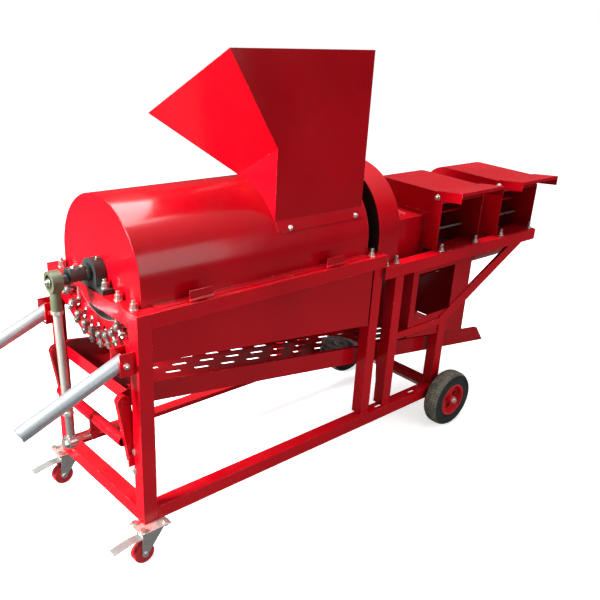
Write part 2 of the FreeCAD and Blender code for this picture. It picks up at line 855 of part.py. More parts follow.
def v_pulley(centre, axis, width, radius, grooves, rim_wall, web_wall, hub_radius, bore_radius):
    """A cast pulley with V grooves, a web in the middle and a hub; centre is on its first face."""
    pitch = width / grooves
    land = pitch * (1 - 2 * pulley_groove_share) / 2
    taper = pitch * pulley_groove_share / 2
    floor = radius - pulley_groove_depth
    pairs = []
    for index in range(grooves):
        start = index * pitch
        pairs += [(start + land, radius), (start + land + taper, floor)]
        pairs += [(start + pitch - land - taper, floor), (start + pitch - land, radius)]
    rim_inner = floor - rim_wall
    web_start, web_end = (width - web_wall) / 2, (width + web_wall) / 2
    pairs = [(0, radius)] + pairs + [(width, radius), (width, rim_inner), (web_end, rim_inner)]
    pairs += [(web_end, hub_radius), (width, hub_radius), (width, bore_radius), (0, bore_radius)]
    pairs += [(0, hub_radius), (web_start, hub_radius), (web_start, rim_inner), (0, rim_inner)]
    return revolved(pairs, centre, axis)


def bearing(x):
    """A pillow block with its foot, round body and the bearing's inner ring."""
    half = bearing_width / 2
    base = drum_rail_height
    left, right = x - half, x + half
    body = block(left, right, -bearing_foot_half, bearing_foot_half, base, base + bearing_foot_height)
    body = body.fuse(block(left, right, -bearing_body_radius, bearing_body_radius, base, shaft_height))
    ends = Vector(left, 0, shaft_height), Vector(right, 0, shaft_height)
    body = body.fuse(rod(*ends, bearing_body_radius))
    reach = half + bearing_ring_overhang
    ends = Vector(x - reach, 0, shaft_height), Vector(x + reach, 0, shaft_height)
    body = body.fuse(rod(*ends, bearing_ring_radius))
    return body.cut(rod(*ends, shaft_radius + running_gap)).removeSplitter()


def beater_drum():
    """A tube on two end discs with rubbing bars along it."""
    start, end = Vector(drum_start, 0, shaft_height), Vector(drum_end, 0, shaft_height)
    parts = []
    disc = axis_x * drum_disc_wall
    parts += [rod(start, start + disc, drum_tube_radius), rod(end - disc, end, drum_tube_radius)]
    low = drum_tube_radius - drum_tube_wall / 2
    bar = block(drum_start, drum_end, -drum_bar_width / 2, drum_bar_width / 2, shaft_height + low,
                shaft_height + drum_bar_tip_radius)
    for index in range(drum_bar_count):
        turned = bar.copy()
        turned.rotate(start, axis_x, full_turn * index / drum_bar_count)
        parts.append(turned)
    drum = pipe(start, end, drum_tube_radius, drum_tube_wall).fuse(parts)
    return drum.cut(rod(start, end, shaft_radius + running_gap)).removeSplitter()


def drum_pulley():
    """The big grooved pulley with round windows in its web."""
    centre = Vector(pulley_start, 0, shaft_height)
    body = v_pulley(centre, axis_x, pulley_width, pulley_radius, pulley_groove_count, pulley_rim_wall,
                    pulley_web_wall, pulley_hub_radius, shaft_radius + running_gap)
    for index in range(pulley_window_count):
        angle = full_turn * index / pulley_window_count
        spot = polar(centre, pulley_window_pitch_radius, angle)
        body = body.cut(rod(spot, spot + axis_x * pulley_width, pulley_window_radius))
    return body


def crank_hub():
    """The eccentric hub on the shaft's end: a socket, a collar and the offset pin with its cap."""
    start, end = Vector(crank_hub_start, 0, shaft_height), Vector(crank_hub_end, 0, shaft_height)
    socket = rod(Vector(shaft_start - running_gap, 0, shaft_height), end, shaft_radius + running_gap)
    body = rod(start, end, crank_hub_radius).cut(socket)
    eye_back = Vector(rod_plane_x + eye_width / 2 + side_gap, 0, pin_height)
    eye_front = Vector(rod_plane_x - eye_width / 2 + eye_recess_depth - side_gap, 0, pin_height)
    pin_start = Vector(crank_hub_start, 0, pin_height)
    cap_front = eye_front - axis_x * crank_cap_length
    cap = rod(eye_front, cap_front, crank_cap_radius)
    cap = cap.fuse(hexagon(cap_front, cap_front - axis_x * crank_screw_height, crank_screw_radius))
    collar = rod(pin_start, eye_back, crank_cap_radius)
    return body.fuse([collar, rod(pin_start, eye_front, crank_pin_radius), cap]).removeSplitter()


rod_top = Vector(rod_plane_x, 0, pin_height)
rod_foot = Vector(rod_plane_x, -rod_side_lean, rod_lower_height)
rod_down = rod_foot.sub(rod_top).normalize()


def eye_end(centre, towards, radius, width, shank_radius, shank_length, bore):
    """A rod end: an eye across the machine and a round shank."""
    half = axis_x * (width / 2)
    body = rod(centre - half, centre + half, radius)
    body = body.fuse(rod(centre, centre + towards * shank_length, shank_radius))
    return body.cut(rod(centre - half, centre + half, bore)).removeSplitter()


def build_drive():
    """Shaft, drum, bearings, pulley, crank and the three pieces of the connecting rod."""
    ends = Vector(shaft_start, 0, shaft_height), Vector(shaft_end, 0, shaft_height)
    save("drum_shaft", rod(*ends, shaft_radius))
    save("beater_drum", beater_drum())
    save("front_bearing", bearing(bearing_x_front))
    save("rear_bearing", bearing(bearing_x_rear))
    save("drum_pulley", drum_pulley())
    save("crank_hub", crank_hub())
    front = rod_top - axis_x * (eye_width / 2)
    recess = rod(front, front + axis_x * eye_recess_depth, eye_recess_radius)
    eye = eye_end(rod_top, rod_down, eye_radius, eye_width, eye_shank_radius, eye_shank_length,
                  crank_pin_radius + running_gap)
    save("crank_rod_end", eye.cut(recess))
    top = rod_top + rod_down * eye_shank_length
    low = rod_foot - rod_down * lower_shank_length
    nuts = [hexagon(top, top + rod_down * lock_nut_height, lock_nut_radius)]
    nuts.append(hexagon(low - rod_down * lock_nut_height, low, lock_nut_radius))
    save("connecting_rod", rod(top, low, rod_tube_radius).fuse(nuts).removeSplitter())
    save("lower_rod_end", eye_end(rod_foot, rod_down * -1, lower_eye_radius, lower_eye_width,
                                  lower_shank_radius, lower_shank_length, stud_radius + running_gap))
    face = Vector(rod_plane_x - lower_eye_width / 2, -rod_side_lean, rod_lower_height)
    stud_end = Vector(stud_end_x, -rod_side_lean, rod_lower_height)
    nut_end = face - axis_x * stud_nut_length
    collar = rod(face + axis_x * lower_eye_width, stud_end, stud_radius + link_gap)
    nut = hexagon(nut_end, face, stud_nut_radius)
    save("rocker_stud", rod(nut_end, stud_end, stud_radius).fuse([nut, collar]))


def tapered_link(lower, upper, lower_half, upper_half, run):
    """A flat link with round ends, wider at the top, pushed along run."""
    along = upper.sub(lower).normalize()
    across = Vector(along.z, 0, -along.x)
    points = [lower - across * lower_half, upper - across * upper_half]
    points += [upper + across * upper_half, lower + across * lower_half]
    body = plate(points, run)
    ends = [rod(lower, lower + run, lower_half), rod(upper, upper + run, upper_half)]
    return body.fuse(ends).removeSplitter()


def rocker_arm():
    """A front rocker arm: a tapered channel, open to the trough, with a boss at each pivot."""
    lower = Vector(rocker_pivot_x, -rocker_outer, rocker_pivot_z)
    upper = Vector(rocker_upper_x, -rocker_outer, rocker_upper_z)
    run = axis_y * rocker_depth
    inner = axis_y * rocker_wall
    body = tapered_link(lower, upper, rocker_lower_half, rocker_upper_half, run)
    hollow = tapered_link(lower + inner, upper + inner, rocker_lower_half - rocker_wall,
                          rocker_upper_half - rocker_wall, run)
    body = body.cut(hollow)
    for pivot in (lower, upper):
        body = body.fuse(rod(pivot, pivot + run, link_collar_radius))
    for pivot in (lower, upper):
        body = body.cut(rod(pivot, pivot + run, rocker_pin_radius + running_gap))
    return body


def rocker_pivot():
    """The bolt-on bracket inside the front post that carries a rocker arm's lower pin."""
    low, high = rocker_pivot_z - pivot_plate_half, rocker_pivot_z + pivot_plate_half
    lug_face = -rocker_outer - side_gap
    body = block(angle_wall, angle_wall + pivot_plate_wall, angle_wall - half_width, lug_face, low, high)
    body = body.fuse(block(rocker_pivot_x - pivot_lug_half, rocker_pivot_x + pivot_lug_half,
                           -rail_inner, lug_face,
                           rocker_pivot_z - pivot_lug_half, rocker_pivot_z + pivot_lug_half))
    start = Vector(rocker_pivot_x, -rail_inner, rocker_pivot_z)
    end = Vector(rocker_pivot_x, rocker_depth - rocker_outer, rocker_pivot_z)
    return body.fuse(rod(start, end, rocker_pin_radius)).removeSplitter()


def drive_lever():
    """The gusset under the rocker tube that the connecting rod's stud pushes."""
    y = -rod_side_lean - lever_wall / 2
    low, high = rod_lower_height - lever_block_half, rod_lower_height + lever_block_half
    pairs = [(lever_face_x, low), (lever_face_x, high), (rocker_tube_x - rocker_tube_radius, rocker_tube_z)]
    pairs += [(rocker_tube_x + lever_web_reach, rocker_tube_z), (lever_face_x + 2 * lever_web_reach, low)]
    body = plate(in_xz(y, pairs), axis_y * lever_wall)
    body = body.fuse(block(lever_face_x, lever_face_x + lever_web_reach, -rod_side_lean - lever_block_half,
                           lever_block_half - rod_side_lean, low, high))
    start = Vector(rocker_tube_x, y - cut_over, rocker_tube_z)
    seat = rod(start, start + axis_y * (lever_wall + 2 * cut_over), rocker_tube_radius + running_gap)
    return body.cut(seat).removeSplitter()


def build_rockers():
    """The front rocker's arms, tube and lever, its pivots, and the two rear rockers."""
    save_pair("rocker_arm", rocker_arm())
    save_pair("rocker_pivot", rocker_pivot())
    reach = rocker_outer - rocker_depth
    ends = Vector(rocker_tube_x, -reach, rocker_tube_z), Vector(rocker_tube_x, reach, rocker_tube_z)
    save("rocker_tube", pipe(*ends, rocker_tube_radius, rocker_tube_wall))
    save("drive_lever", drive_lever())
    outer = -link_inner - link_thickness
    lower, upper = Vector(rear_rocker_x, outer, rear_rocker_z), Vector(rear_upper_x, outer, rear_upper_z)
    run = axis_y * link_thickness
    link = tapered_link(lower, upper, link_half_width, link_half_width, run)
    for pivot in (lower, upper):
        link = link.cut(rod(pivot, pivot + run, rocker_pin_radius + running_gap))
    save_pair("rear_rocker", link)


def pan_line(x, drop):
    """A point on the trough's slope, drop below its top edge, as (x, z)."""
    return x, pan_top_at_start - pan_slope * (x - pan_start_x) - drop


def pan_wall_side():
    """The near side wall of the trough with its lug, both pins and the turned-in top lip."""
    outer = -pan_half_width
    run = axis_y * pan_wall
    pairs = [pan_line(pan_start_x, 0), pan_line(pan_end_top_x, 0)]
    pairs += [pan_line(pan_end_bottom_x, pan_wall_height), pan_line(pan_start_x, pan_wall_height)]
    body = plate(in_xz(outer, pairs), run)
    root = pan_start_x + lug_half_height
    lug = [(rocker_upper_x, rocker_upper_z + lug_half_height), pan_line(root, 0)]
    lug += [pan_line(root, pan_wall_height), (rocker_upper_x, rocker_upper_z - lug_half_height)]
    pivot = Vector(rocker_upper_x, outer, rocker_upper_z)
    body = body.fuse([plate(in_xz(outer, lug), run), rod(pivot, pivot + run, lug_half_height)])
    lip = [pan_line(pan_start_x, 0), pan_line(pan_end_top_x, 0)]
    lip += [pan_line(pan_end_top_x, pan_wall), pan_line(pan_start_x, pan_wall)]
    body = body.fuse(plate(in_xz(outer, lip), axis_y * pan_lip_width))
    pin_end = Vector(rocker_upper_x, -rocker_outer - side_gap, rocker_upper_z)
    head_end = pin_end - axis_y * pan_wall
    rear = Vector(rear_upper_x, outer, rear_upper_z)
    rear_end = Vector(rear_upper_x, -link_inner - link_thickness - side_gap, rear_upper_z)
    pins = [rod(pivot, pin_end, rocker_pin_radius), rod(pin_end, head_end, link_collar_radius)]
    return body.fuse(pins + [rod(rear, rear_end, rocker_pin_radius)])


def sieve_pan():
    """The trough: two side walls and the front end plate, welded together."""
    near = pan_wall_side()
    inner = pan_half_width - pan_wall
    base = pan_line(pan_start_x, pan_wall_height)[1]
    end_plate = block(pan_start_x, pan_start_x + pan_wall, -inner, inner, base, base + pan_end_bar_height)
    return near.fuse([far(near), end_plate]).removeSplitter()


def sieve_deck():
    """The perforated sheet between the walls, with staggered rows of long slots."""
    inner = pan_half_width - pan_wall
    start, end = pan_start_x + pan_wall, pan_end_bottom_x
    pairs = [pan_line(start, deck_drop), pan_line(end, deck_drop)]
    pairs += [pan_line(end, pan_wall_height), pan_line(start, pan_wall_height)]
    deck = plate(in_xz(-inner, pairs), axis_y * (2 * inner))
    cutters = []
    for row in range(slot_rows):
        y = (row - (slot_rows - 1) / 2) * slot_pitch_y
        shift = slot_pitch_x / 2 * (row % 2)
        for column in range(slot_columns):
            x = slot_start_x + column * slot_pitch_x + shift
            low = pan_line(x, pan_wall_height + slot_length)[1]
            cutters.append(slot_cutter(x, y, low, low + 2 * slot_length, slot_length, slot_radius))
    return deck.cut(cutters)


def motor_pulley():
    """The small grooved pulley for the motor, laid flat on the sieve beside the near wall."""
    body = v_pulley(Vector(0, 0, 0), axis_z, motor_pulley_width, motor_pulley_radius, pulley_groove_count,
                    motor_pulley_rim_wall, motor_pulley_web_wall, motor_pulley_hub_radius,
                    motor_pulley_bore_radius)
    body.rotate(Vector(0, 0, 0), axis_y, math.degrees(math.atan(pan_slope)))
    body.translate(Vector(motor_pulley_x, motor_pulley_y, pan_line(motor_pulley_x, deck_drop)[1] + side_gap))
    return body


def build_trough():
    """The shaking trough, its sieve and the pulley that lies on it."""
    save("sieve_pan", sieve_pan())
    save("sieve_deck", sieve_deck())
    save("motor_pulley", motor_pulley())


def arc_band(x0, x1, centre, inner, outer, first, last):
    """A curved sheet across the machine between two angles about centre, given as (y, z)."""
    middle = (first + last) / 2
    hub = Vector(x0, *centre)
    out = [polar(hub, outer, turn) for turn in (first, middle, last)]
    back = [polar(hub, inner, turn) for turn in (last, middle, first)]
    sides = [Part.LineSegment(out[2], back[0]), Part.LineSegment(back[2], out[0])]
    edges = [Part.Arc(*out), sides[0], Part.Arc(*back), sides[1]]
    wire = Part.Wire([edge.toShape() for edge in edges])
    return Part.Face(wire).extrude(axis_x * (x1 - x0))


def rod_slots(x0, x1):
    """Cutters for the radial slots that the concave's rods pass through."""
    centre = Vector(x0, concave_centre_y, shaft_height)
    low, high = shaft_height - adjuster_slot_outer, shaft_height - adjuster_slot_inner
    ends = [Vector(x0, concave_centre_y, z) for z in (low + adjuster_slot_half, high - adjuster_slot_half)]
    run = axis_x * (x1 - x0)
    slot = block(x0, x1, concave_centre_y - adjuster_slot_half, concave_centre_y + adjuster_slot_half,
                 ends[0].z, ends[1].z)
    slot = slot.fuse([rod(end, end + run, adjuster_slot_half) for end in ends]).removeSplitter()
    cutters = []
    for index in range(concave_rod_count):
        turned = slot.copy()
        turned.rotate(centre, axis_x, concave_first_angle + index * concave_rod_step)
        cutters.append(turned)
    return cutters


def drum_gap():
    """Cutter for the crescent in the front end plate between the drum's end and the husker sheet."""
    x = casing_front_x - cut_over
    turns = [math.degrees(math.asin((y - husker_sheet_y) / husker_sheet_radius)) for y in drum_gap_ends]
    turns.insert(1, sum(turns) / 2)
    centre = Vector(x, husker_sheet_y, husker_sheet_z)
    low = [polar(centre, husker_sheet_radius, turn) for turn in turns]
    high = [Vector(x, y, drum_rail_height - drop) for y, drop in drum_gap_arc]
    edges = [Part.Arc(*low), Part.LineSegment(low[2], high[2]), Part.Arc(*reversed(high)),
             Part.LineSegment(high[0], low[0])]
    face = Part.Face(Part.Wire([edge.toShape() for edge in edges]))
    return face.extrude(axis_x * (sheet_wall + 2 * cut_over))


def mill_casing():
    """The casing under the drum: two slanted side sheets and two end plates, welded."""
    outer = half_width - angle_wall
    inner = outer - sheet_wall
    top = drum_rail_height - angle_wall
    side = [(casing_front_x, drum_rail_height - casing_front_drop), (casing_front_x, top)]
    side += [(casing_back_x, top), (casing_back_x, drum_rail_height - casing_back_drop)]
    near = plate(in_xz(-outer, side), axis_y * sheet_wall)
    knee_slope = end_plate_knee_rise / (end_plate_knee_half - end_plate_flat_half)
    knee_z = end_plate_base + end_plate_knee_rise
    edge_z = knee_z + (inner - end_plate_knee_half) * knee_slope
    half = [(end_plate_flat_half, end_plate_base), (end_plate_knee_half, knee_z)]
    half += [(inner, edge_z), (inner, top)]
    mirrored = [(-y, z) for y, z in reversed(half)]
    front = plate(in_yz(casing_front_x, half + mirrored), axis_x * sheet_wall)
    slots = rod_slots(casing_front_x - cut_over, casing_back_x + cut_over)
    sheet_slot = arc_band(casing_front_x - cut_over, casing_front_x + sheet_wall + cut_over,
                          (husker_sheet_y, husker_sheet_z),
                          husker_sheet_radius - husker_sheet_wall / 2 - side_gap,
                          husker_sheet_radius + husker_sheet_wall / 2 + side_gap,
                          -husker_sheet_half_angle - angle_gap, husker_sheet_half_angle + angle_gap)
    back = block(casing_back_x - sheet_wall, casing_back_x, -inner, inner,
                 drum_rail_height - casing_back_drop, top)
    body = near.fuse([far(near), front, back]).removeSplitter()
    return body.cut(slots + [sheet_slot, drum_gap()])


def husker_sheet():
    """The bent perforated sheet that the beaters rub the nuts against."""
    end = casing_back_x - sheet_wall
    centre = (husker_sheet_y, husker_sheet_z)
    half = husker_sheet_wall / 2
    sheet = arc_band(husker_sheet_start, end, centre, husker_sheet_radius - half, husker_sheet_radius + half,
                     -husker_sheet_half_angle, husker_sheet_half_angle)
    holes = []
    pitch = (end - drum_start) / husker_hole_columns
    turn_step = 2 * husker_sheet_half_angle / (husker_hole_rows + 1)
    for column in range(husker_hole_columns):
        x = drum_start + pitch * (column + 1 / 2)
        for row in range(husker_hole_rows):
            turn = turn_step * (row + 1) - husker_sheet_half_angle
            hub = Vector(x, *centre)
            inside = polar(hub, husker_sheet_radius - cut_over, turn)
            outside = polar(hub, husker_sheet_radius + cut_over, turn)
            holes.append(rod(inside, outside, husker_hole_radius))
    return sheet.cut(holes)


def rod_adjuster(turn):
    """An eye on a concave rod's end with the radial bolt and nut that set the rod's depth."""
    hub = Vector(adjuster_x, concave_centre_y, shaft_height)
    centre = polar(hub, concave_radius, turn)
    run = axis_x * adjuster_eye_width
    middle = hub + run / 2
    places = (concave_radius, adjuster_nut_at, adjuster_nut_at + adjuster_nut_height, adjuster_bolt_end)
    stem = [polar(middle, radius, turn) for radius in places]
    body = rod(centre, centre + run, adjuster_eye_radius).fuse(rod(stem[0], stem[3], adjuster_bolt_radius))
    body = body.fuse(hexagon(stem[1], stem[2], adjuster_nut_radius))
    return body.cut(rod(centre, centre + run, concave_rod_radius + running_gap)).removeSplitter()


def build_concave():
    """Casing, husker sheet, the nine concave rods and their adjusters."""
    save("mill_casing", mill_casing())
    save("husker_sheet", husker_sheet())
    rods, adjusters = [], []
    for index in range(concave_rod_count):
        turn = concave_first_angle + index * concave_rod_step
        start = polar(Vector(concave_rod_start, concave_centre_y, shaft_height), concave_radius, turn)
        length = casing_back_x + concave_rod_tail - concave_rod_start
        rods.append(rod(start, start + axis_x * length, concave_rod_radius))
        adjusters.append(rod_adjuster(turn))
    save("concave_rods", group(rods))
    save("rod_adjusters", group(adjusters))


def arch(x0, x1, radius, base):
    """A solid with a round top about the drum shaft and straight sides down to base."""
    left, right = Vector(x0, -radius, shaft_height), Vector(x0, radius, shaft_height)
    crown = Part.Arc(left, Vector(x0, 0, shaft_height + radius), right).toShape()
    foot = [Vector(x0, radius, base), Vector(x0, -radius, base)]
    sides = [Part.LineSegment(right, foot[0]), Part.LineSegment(*foot), Part.LineSegment(foot[1], left)]
    return Part.Face(Part.Wire([crown] + [side.toShape() for side in sides])).extrude(axis_x * (x1 - x0))


def drum_hood():
    """The hinged hood: rolled shell, two notched end plates, foot flanges and hinge halves."""
    inner = hood_radius - sheet_wall
    body = arch(hood_start, hood_end, hood_radius, hood_base)
    body = body.cut(arch(hood_start + sheet_wall, hood_end - sheet_wall, inner, hood_base - cut_over))
    notch = block(hood_start - cut_over, hood_end + cut_over, -hood_notch_half, hood_notch_half,
                  hood_base - cut_over, shaft_height)
    crown = rod(Vector(hood_start - cut_over, 0, shaft_height), Vector(hood_end + cut_over, 0, shaft_height),
                hood_notch_half)
    mouth = block(duct_left_x + hopper_wall, duct_right_x - hopper_wall, duct_near_y + hopper_wall,
                  duct_far_y - hopper_wall, shaft_height, shaft_height + hood_radius + cut_over)
    body = body.cut([notch, crown, mouth])
    for side in (-1, 1):
        body = body.fuse(block(hood_flange_start, hood_flange_end, side * inner,
                               side * (hood_radius + hood_flange_width), hood_base, hood_base + sheet_wall))
    third = hinge_length / 3
    flange_edge = -hood_radius - hood_flange_width
    for start in (hinge_start_first, hinge_start_second):
        middle = start + third + side_gap
        end = start + 2 * third - side_gap
        ends = Vector(middle, hinge_axis_y, hinge_axis_z), Vector(end, hinge_axis_y, hinge_axis_z)
        knuckle = rod(*ends, hinge_knuckle_radius)
        web = block(middle, end, hinge_axis_y, flange_edge + sheet_wall, hood_base + side_gap,
                    hood_base + sheet_wall)
        leaf_base = hinge_axis_z + hinge_knuckle_radius + hood_base_gap
        half = hinge_leaf_wall / 2
        leaf = block(start, start + hinge_length, hinge_axis_y - half, hinge_axis_y + half, leaf_base,
                     hinge_axis_z + hinge_leaf_height)
        neck = block(middle, end, hinge_axis_y - half, hinge_axis_y + half, hinge_axis_z, leaf_base)
        body = body.fuse([knuckle, web, leaf, neck])
        body = body.cut(rod(*ends, hinge_pin_radius + running_gap))
    return body.removeSplitter()


def shell_of(faces):
    """A closed solid made of flat faces, each given by its corners."""
    return Part.Solid(Part.Shell([Part.Face(Part.makePolygon(points + points[:1])) for points in faces]))


def plane_of(points, inside):
    """A plane's unit normal towards the point inside, and its distance from the origin along it."""
    normal = points[1].sub(points[0]).cross(points[2].sub(points[0])).normalize()
    if normal.dot(inside.sub(points[0])) < 0:
        normal = normal * -1
    return normal, normal.dot(points[0])


def meet(first, second, third):
    """The point that three planes share."""
    product = first[0].dot(second[0].cross(third[0]))
    total = second[0].cross(third[0]) * first[1] + third[0].cross(first[0]) * second[1]
    return (total + first[0].cross(second[0]) * third[1]) * (1 / product)


def feed_hopper():
    """The feed hopper: a duct standing on the hood that flares to the left and the far side."""
    base = shaft_height
    near_fold = Vector(duct_left_x, duct_near_y, fold_near_z)
    far_fold = Vector(duct_left_x, duct_far_y, duct_far_z)
    near_mouth = Vector(mouth_left_x, duct_near_y, mouth_near_z)
    square = far_fold.sub(near_fold).cross(near_mouth.sub(near_fold))
    reach = square.y * (mouth_far_y - duct_near_y) + square.z * (mouth_far_z - fold_near_z)
    far_mouth = Vector(duct_left_x - reach / square.x, mouth_far_y, mouth_far_z)
    right_far = Vector(duct_right_x, duct_far_y, duct_far_z)
    right_mouth = Vector(duct_right_x, mouth_far_y, mouth_far_z)
    near_right = Vector(duct_right_x, duct_near_y, mouth_near_z)
    inside = Vector((duct_left_x + duct_right_x) / 2, (duct_near_y + duct_far_y) / 2, fold_near_z)
    foot = [Vector(x, y, base) for x, y in ((duct_left_x, duct_near_y), (duct_right_x, duct_near_y),
                                            (duct_right_x, duct_far_y), (duct_left_x, duct_far_y))]
    near_side = [foot[0], near_fold, near_mouth, near_right, foot[1]]
    right_side = [foot[1], near_right, right_mouth, right_far, foot[2]]
    left_duct = [foot[0], near_fold, far_fold, foot[3]]
    far_duct = [foot[3], far_fold, right_far, foot[2]]
    left_flare = [near_fold, far_fold, far_mouth, near_mouth]
    far_flare = [far_fold, right_far, right_mouth, far_mouth]
    mouth = [near_mouth, near_right, right_mouth, far_mouth]
    body = shell_of([near_side, right_side, left_duct, far_duct, left_flare, far_flare, mouth, foot])
    walls = []
    for points in (near_side, right_side, far_flare, left_flare):
        normal, distance = plane_of(points, inside)
        walls.append((normal, distance + hopper_wall))
    normal, distance = plane_of(mouth, inside)
    rings = []
    for end in ((axis_z, duct_far_z - flare_tail), (normal, distance - cut_over)):
        rings.append([meet(walls[i - 1], walls[i], end) for i in range(len(walls))])
    low, high = rings
    sides = [[low[i - 1], low[i], high[i], high[i - 1]] for i in range(len(walls))]
    body = body.cut(shell_of(sides + rings))
    body = body.cut(block(duct_left_x + hopper_wall, duct_right_x - hopper_wall, duct_near_y + hopper_wall,
                          duct_far_y - hopper_wall, base - cut_over, fold_near_z))
    body = body.cut(arch(hood_start, hood_end, hood_radius + running_gap, hood_base))
    seat_z = shaft_height + math.sqrt(hood_radius ** 2 - duct_near_y ** 2)
    lean = [-90 - math.degrees(math.asin((z - shaft_height) / hood_radius))
            for z in (seat_z - duct_flange_drop, seat_z + hopper_wall)]
    flange = arc_band(duct_left_x + hopper_wall, duct_right_x - hopper_wall, (0, shaft_height),
                      hood_radius + running_gap, hood_radius + hopper_wall, *lean)
    return body.fuse(flange).removeSplitter()


def pulley_guard():
    """The arched guard over the big pulley, open to the hood, with feet on the fan rails."""
    inner = guard_radius - sheet_wall
    body = arch(guard_start, guard_end, guard_radius, fan_rail_height)
    body = body.cut(arch(guard_start - cut_over, guard_end - sheet_wall, inner, fan_rail_height - cut_over))
    rail_end = fan_rail_start + side_gap
    body = body.cut(block(guard_start - cut_over, rail_end, -half_width, half_width,
                          fan_rail_height - cut_over, drum_rail_height + side_gap))
    for side in (-1, 1):
        foot = block(rail_end, guard_end, side * inner, side * (guard_radius + guard_foot_width),
                     fan_rail_height, fan_rail_height + sheet_wall)
        body = body.fuse(foot)
    return body.removeSplitter()


def fan_drive_cover():
    """The louvred cover over the fan's pulley, flanged to the first fan housing."""
    half, wall = louvre_half_width, sheet_wall
    body = block(louvre_start, louvre_end, -half, half, duct_top, louvre_top)
    body = body.cut(block(louvre_start + wall, louvre_end + cut_over, wall - half, half - wall,
                          duct_top - cut_over, louvre_top - wall))
    collar = block(louvre_end - wall, louvre_end, -half - louvre_flange, half + louvre_flange,
                   duct_top, louvre_top + louvre_flange)
    body = body.fuse(collar.cut(block(louvre_end - wall - cut_over, louvre_end + cut_over,
                                      wall - half, half - wall,
                                      duct_top - cut_over, louvre_top - wall)))
    first = (louvre_start + louvre_end - louvre_pitch * louvre_count) / 2
    for index in range(louvre_count):
        x = first + index * louvre_pitch
        body = body.cut(block(x, x + louvre_gap, -louvre_width / 2, louvre_width / 2,
                              louvre_top - wall - cut_over, louvre_top + cut_over))
        lid = [(x, louvre_top - wall / 2), (x + louvre_gap, louvre_top + louvre_lift - wall / 2)]
        lid += [(x + louvre_gap, louvre_top + louvre_lift), (x, louvre_top)]
        lid = [(x - wall / 2, louvre_top), (x - wall / 2, louvre_top - wall / 2)] + lid
        body = body.fuse(plate(in_xz(-louvre_width / 2, lid), axis_y * louvre_width))
    return body.removeSplitter()


def scroll_face(x, inset, mouth_over):
    """The fan housing's outline: flat floor and mouth on the near side, round top corner and scroll."""
    reach = scroll_radius - inset
    corner_y, corner_z = scroll_radius - housing_corner_radius, housing_top_z - housing_corner_radius
    corner = housing_corner_radius - inset
    slant = math.sqrt(1 / 2)
    floor = fan_rail_height + inset
    mouth = mouth_y - mouth_over
    lines = [(-reach, fan_shaft_height), (-reach, floor), (mouth, floor), (mouth, mouth_top_z - inset)]
    if mouth_over > 0:
        lines.append((mouth_y, mouth_top_z - inset))
    lines += [(housing_top_near_y + inset / 2, housing_top_z - inset), (corner_y, housing_top_z - inset)]
    points = in_yz(x, lines)
    edges = [Part.LineSegment(points[i], points[i + 1]).toShape() for i in range(len(points) - 1)]
    turn = Vector(x, corner_y + corner * slant, corner_z + corner * slant)
    side_top, side_base = Vector(x, reach, corner_z), Vector(x, reach, fan_shaft_height)
    edges.append(Part.Arc(points[-1], turn, side_top).toShape())
    edges.append(Part.LineSegment(side_top, side_base).toShape())
    edges.append(Part.Arc(side_base, Vector(x, 0, fan_shaft_height - reach), points[0]).toShape())
    return Part.Face(Part.Wire(edges))


def fan_axis(x):
    """A point on the fan shaft's axis."""
    return Vector(x, 0, fan_shaft_height)


def fan_housing(x0, x1, bearing_side):
    """A fan's sheet housing with its floor flanges, mouth bars, air inlet and shaft bearing."""
    wall = sheet_wall
    body = scroll_face(x0, 0, 0).extrude(axis_x * (x1 - x0))
    body = body.cut(scroll_face(x0 + wall, wall, cut_over).extrude(axis_x * (x1 - x0 - 2 * wall)))
    floor_top = fan_rail_height + wall
    for side, inner in ((-1, -mouth_y - wall), (1, scroll_radius - wall)):
        body = body.fuse(block(x0, x1, side * inner, side * fan_floor_reach, fan_rail_height, floor_top))
    for y, z in ((mouth_bar_low_y, mouth_bar_low_z), (mouth_bar_high_y, mouth_bar_high_z)):
        body = body.fuse(rod(Vector(x0 + wall, y, z), Vector(x1 - wall, y, z), mouth_bar_radius))
    for x, outward in ((x0, -1), (x1, 1)):
        plate_in = x - outward * wall
        if outward == bearing_side or bearing_side < 0:
            ends = fan_axis(x), fan_axis(plate_in)
            body = body.cut(rod(*ends, inlet_radius))
            body = body.fuse(block(x, plate_in, -spider_half_width, spider_half_width,
                                   fan_shaft_height - inlet_radius - wall,
                                   fan_shaft_height + inlet_radius + wall))
        pin = Vector(x, flap_pivot_y, flap_pivot_z)
        body = body.fuse(rod(pin, pin + axis_x * (outward * (2 * flap_wall + side_gap)), flap_pin_radius))
    return body


def bored_housing(x0, x1, bearing_side):
    """A fan housing with the bearing boss and the shaft's hole."""
    face = x0 if bearing_side < 0 else x1
    inward = -bearing_side
    boss_start = fan_axis(face + inward * sheet_wall)
    boss_end = boss_start + axis_x * (inward * fan_bearing_width)
    body = fan_housing(x0, x1, bearing_side).fuse(rod(boss_start, boss_end, fan_bearing_radius))
    bore_end = fan_axis(x1 + cut_over) if bearing_side < 0 else fan_axis(x1 - sheet_wall)
    return body.cut(rod(fan_axis(x0 - cut_over), bore_end, fan_shaft_radius + running_gap))


def inlet_box():
    """The square duct between the two fan housings, open below, that feeds the second fan."""
    half, wall = inlet_box_half, sheet_wall
    body = block(fan_front_end, fan_rear_start, -half, half, inlet_box_base, inlet_box_top)
    return body.cut(block(fan_front_end - cut_over, fan_rear_start + cut_over, wall - half, half - wall,
                          inlet_box_base - cut_over, inlet_box_top - wall))


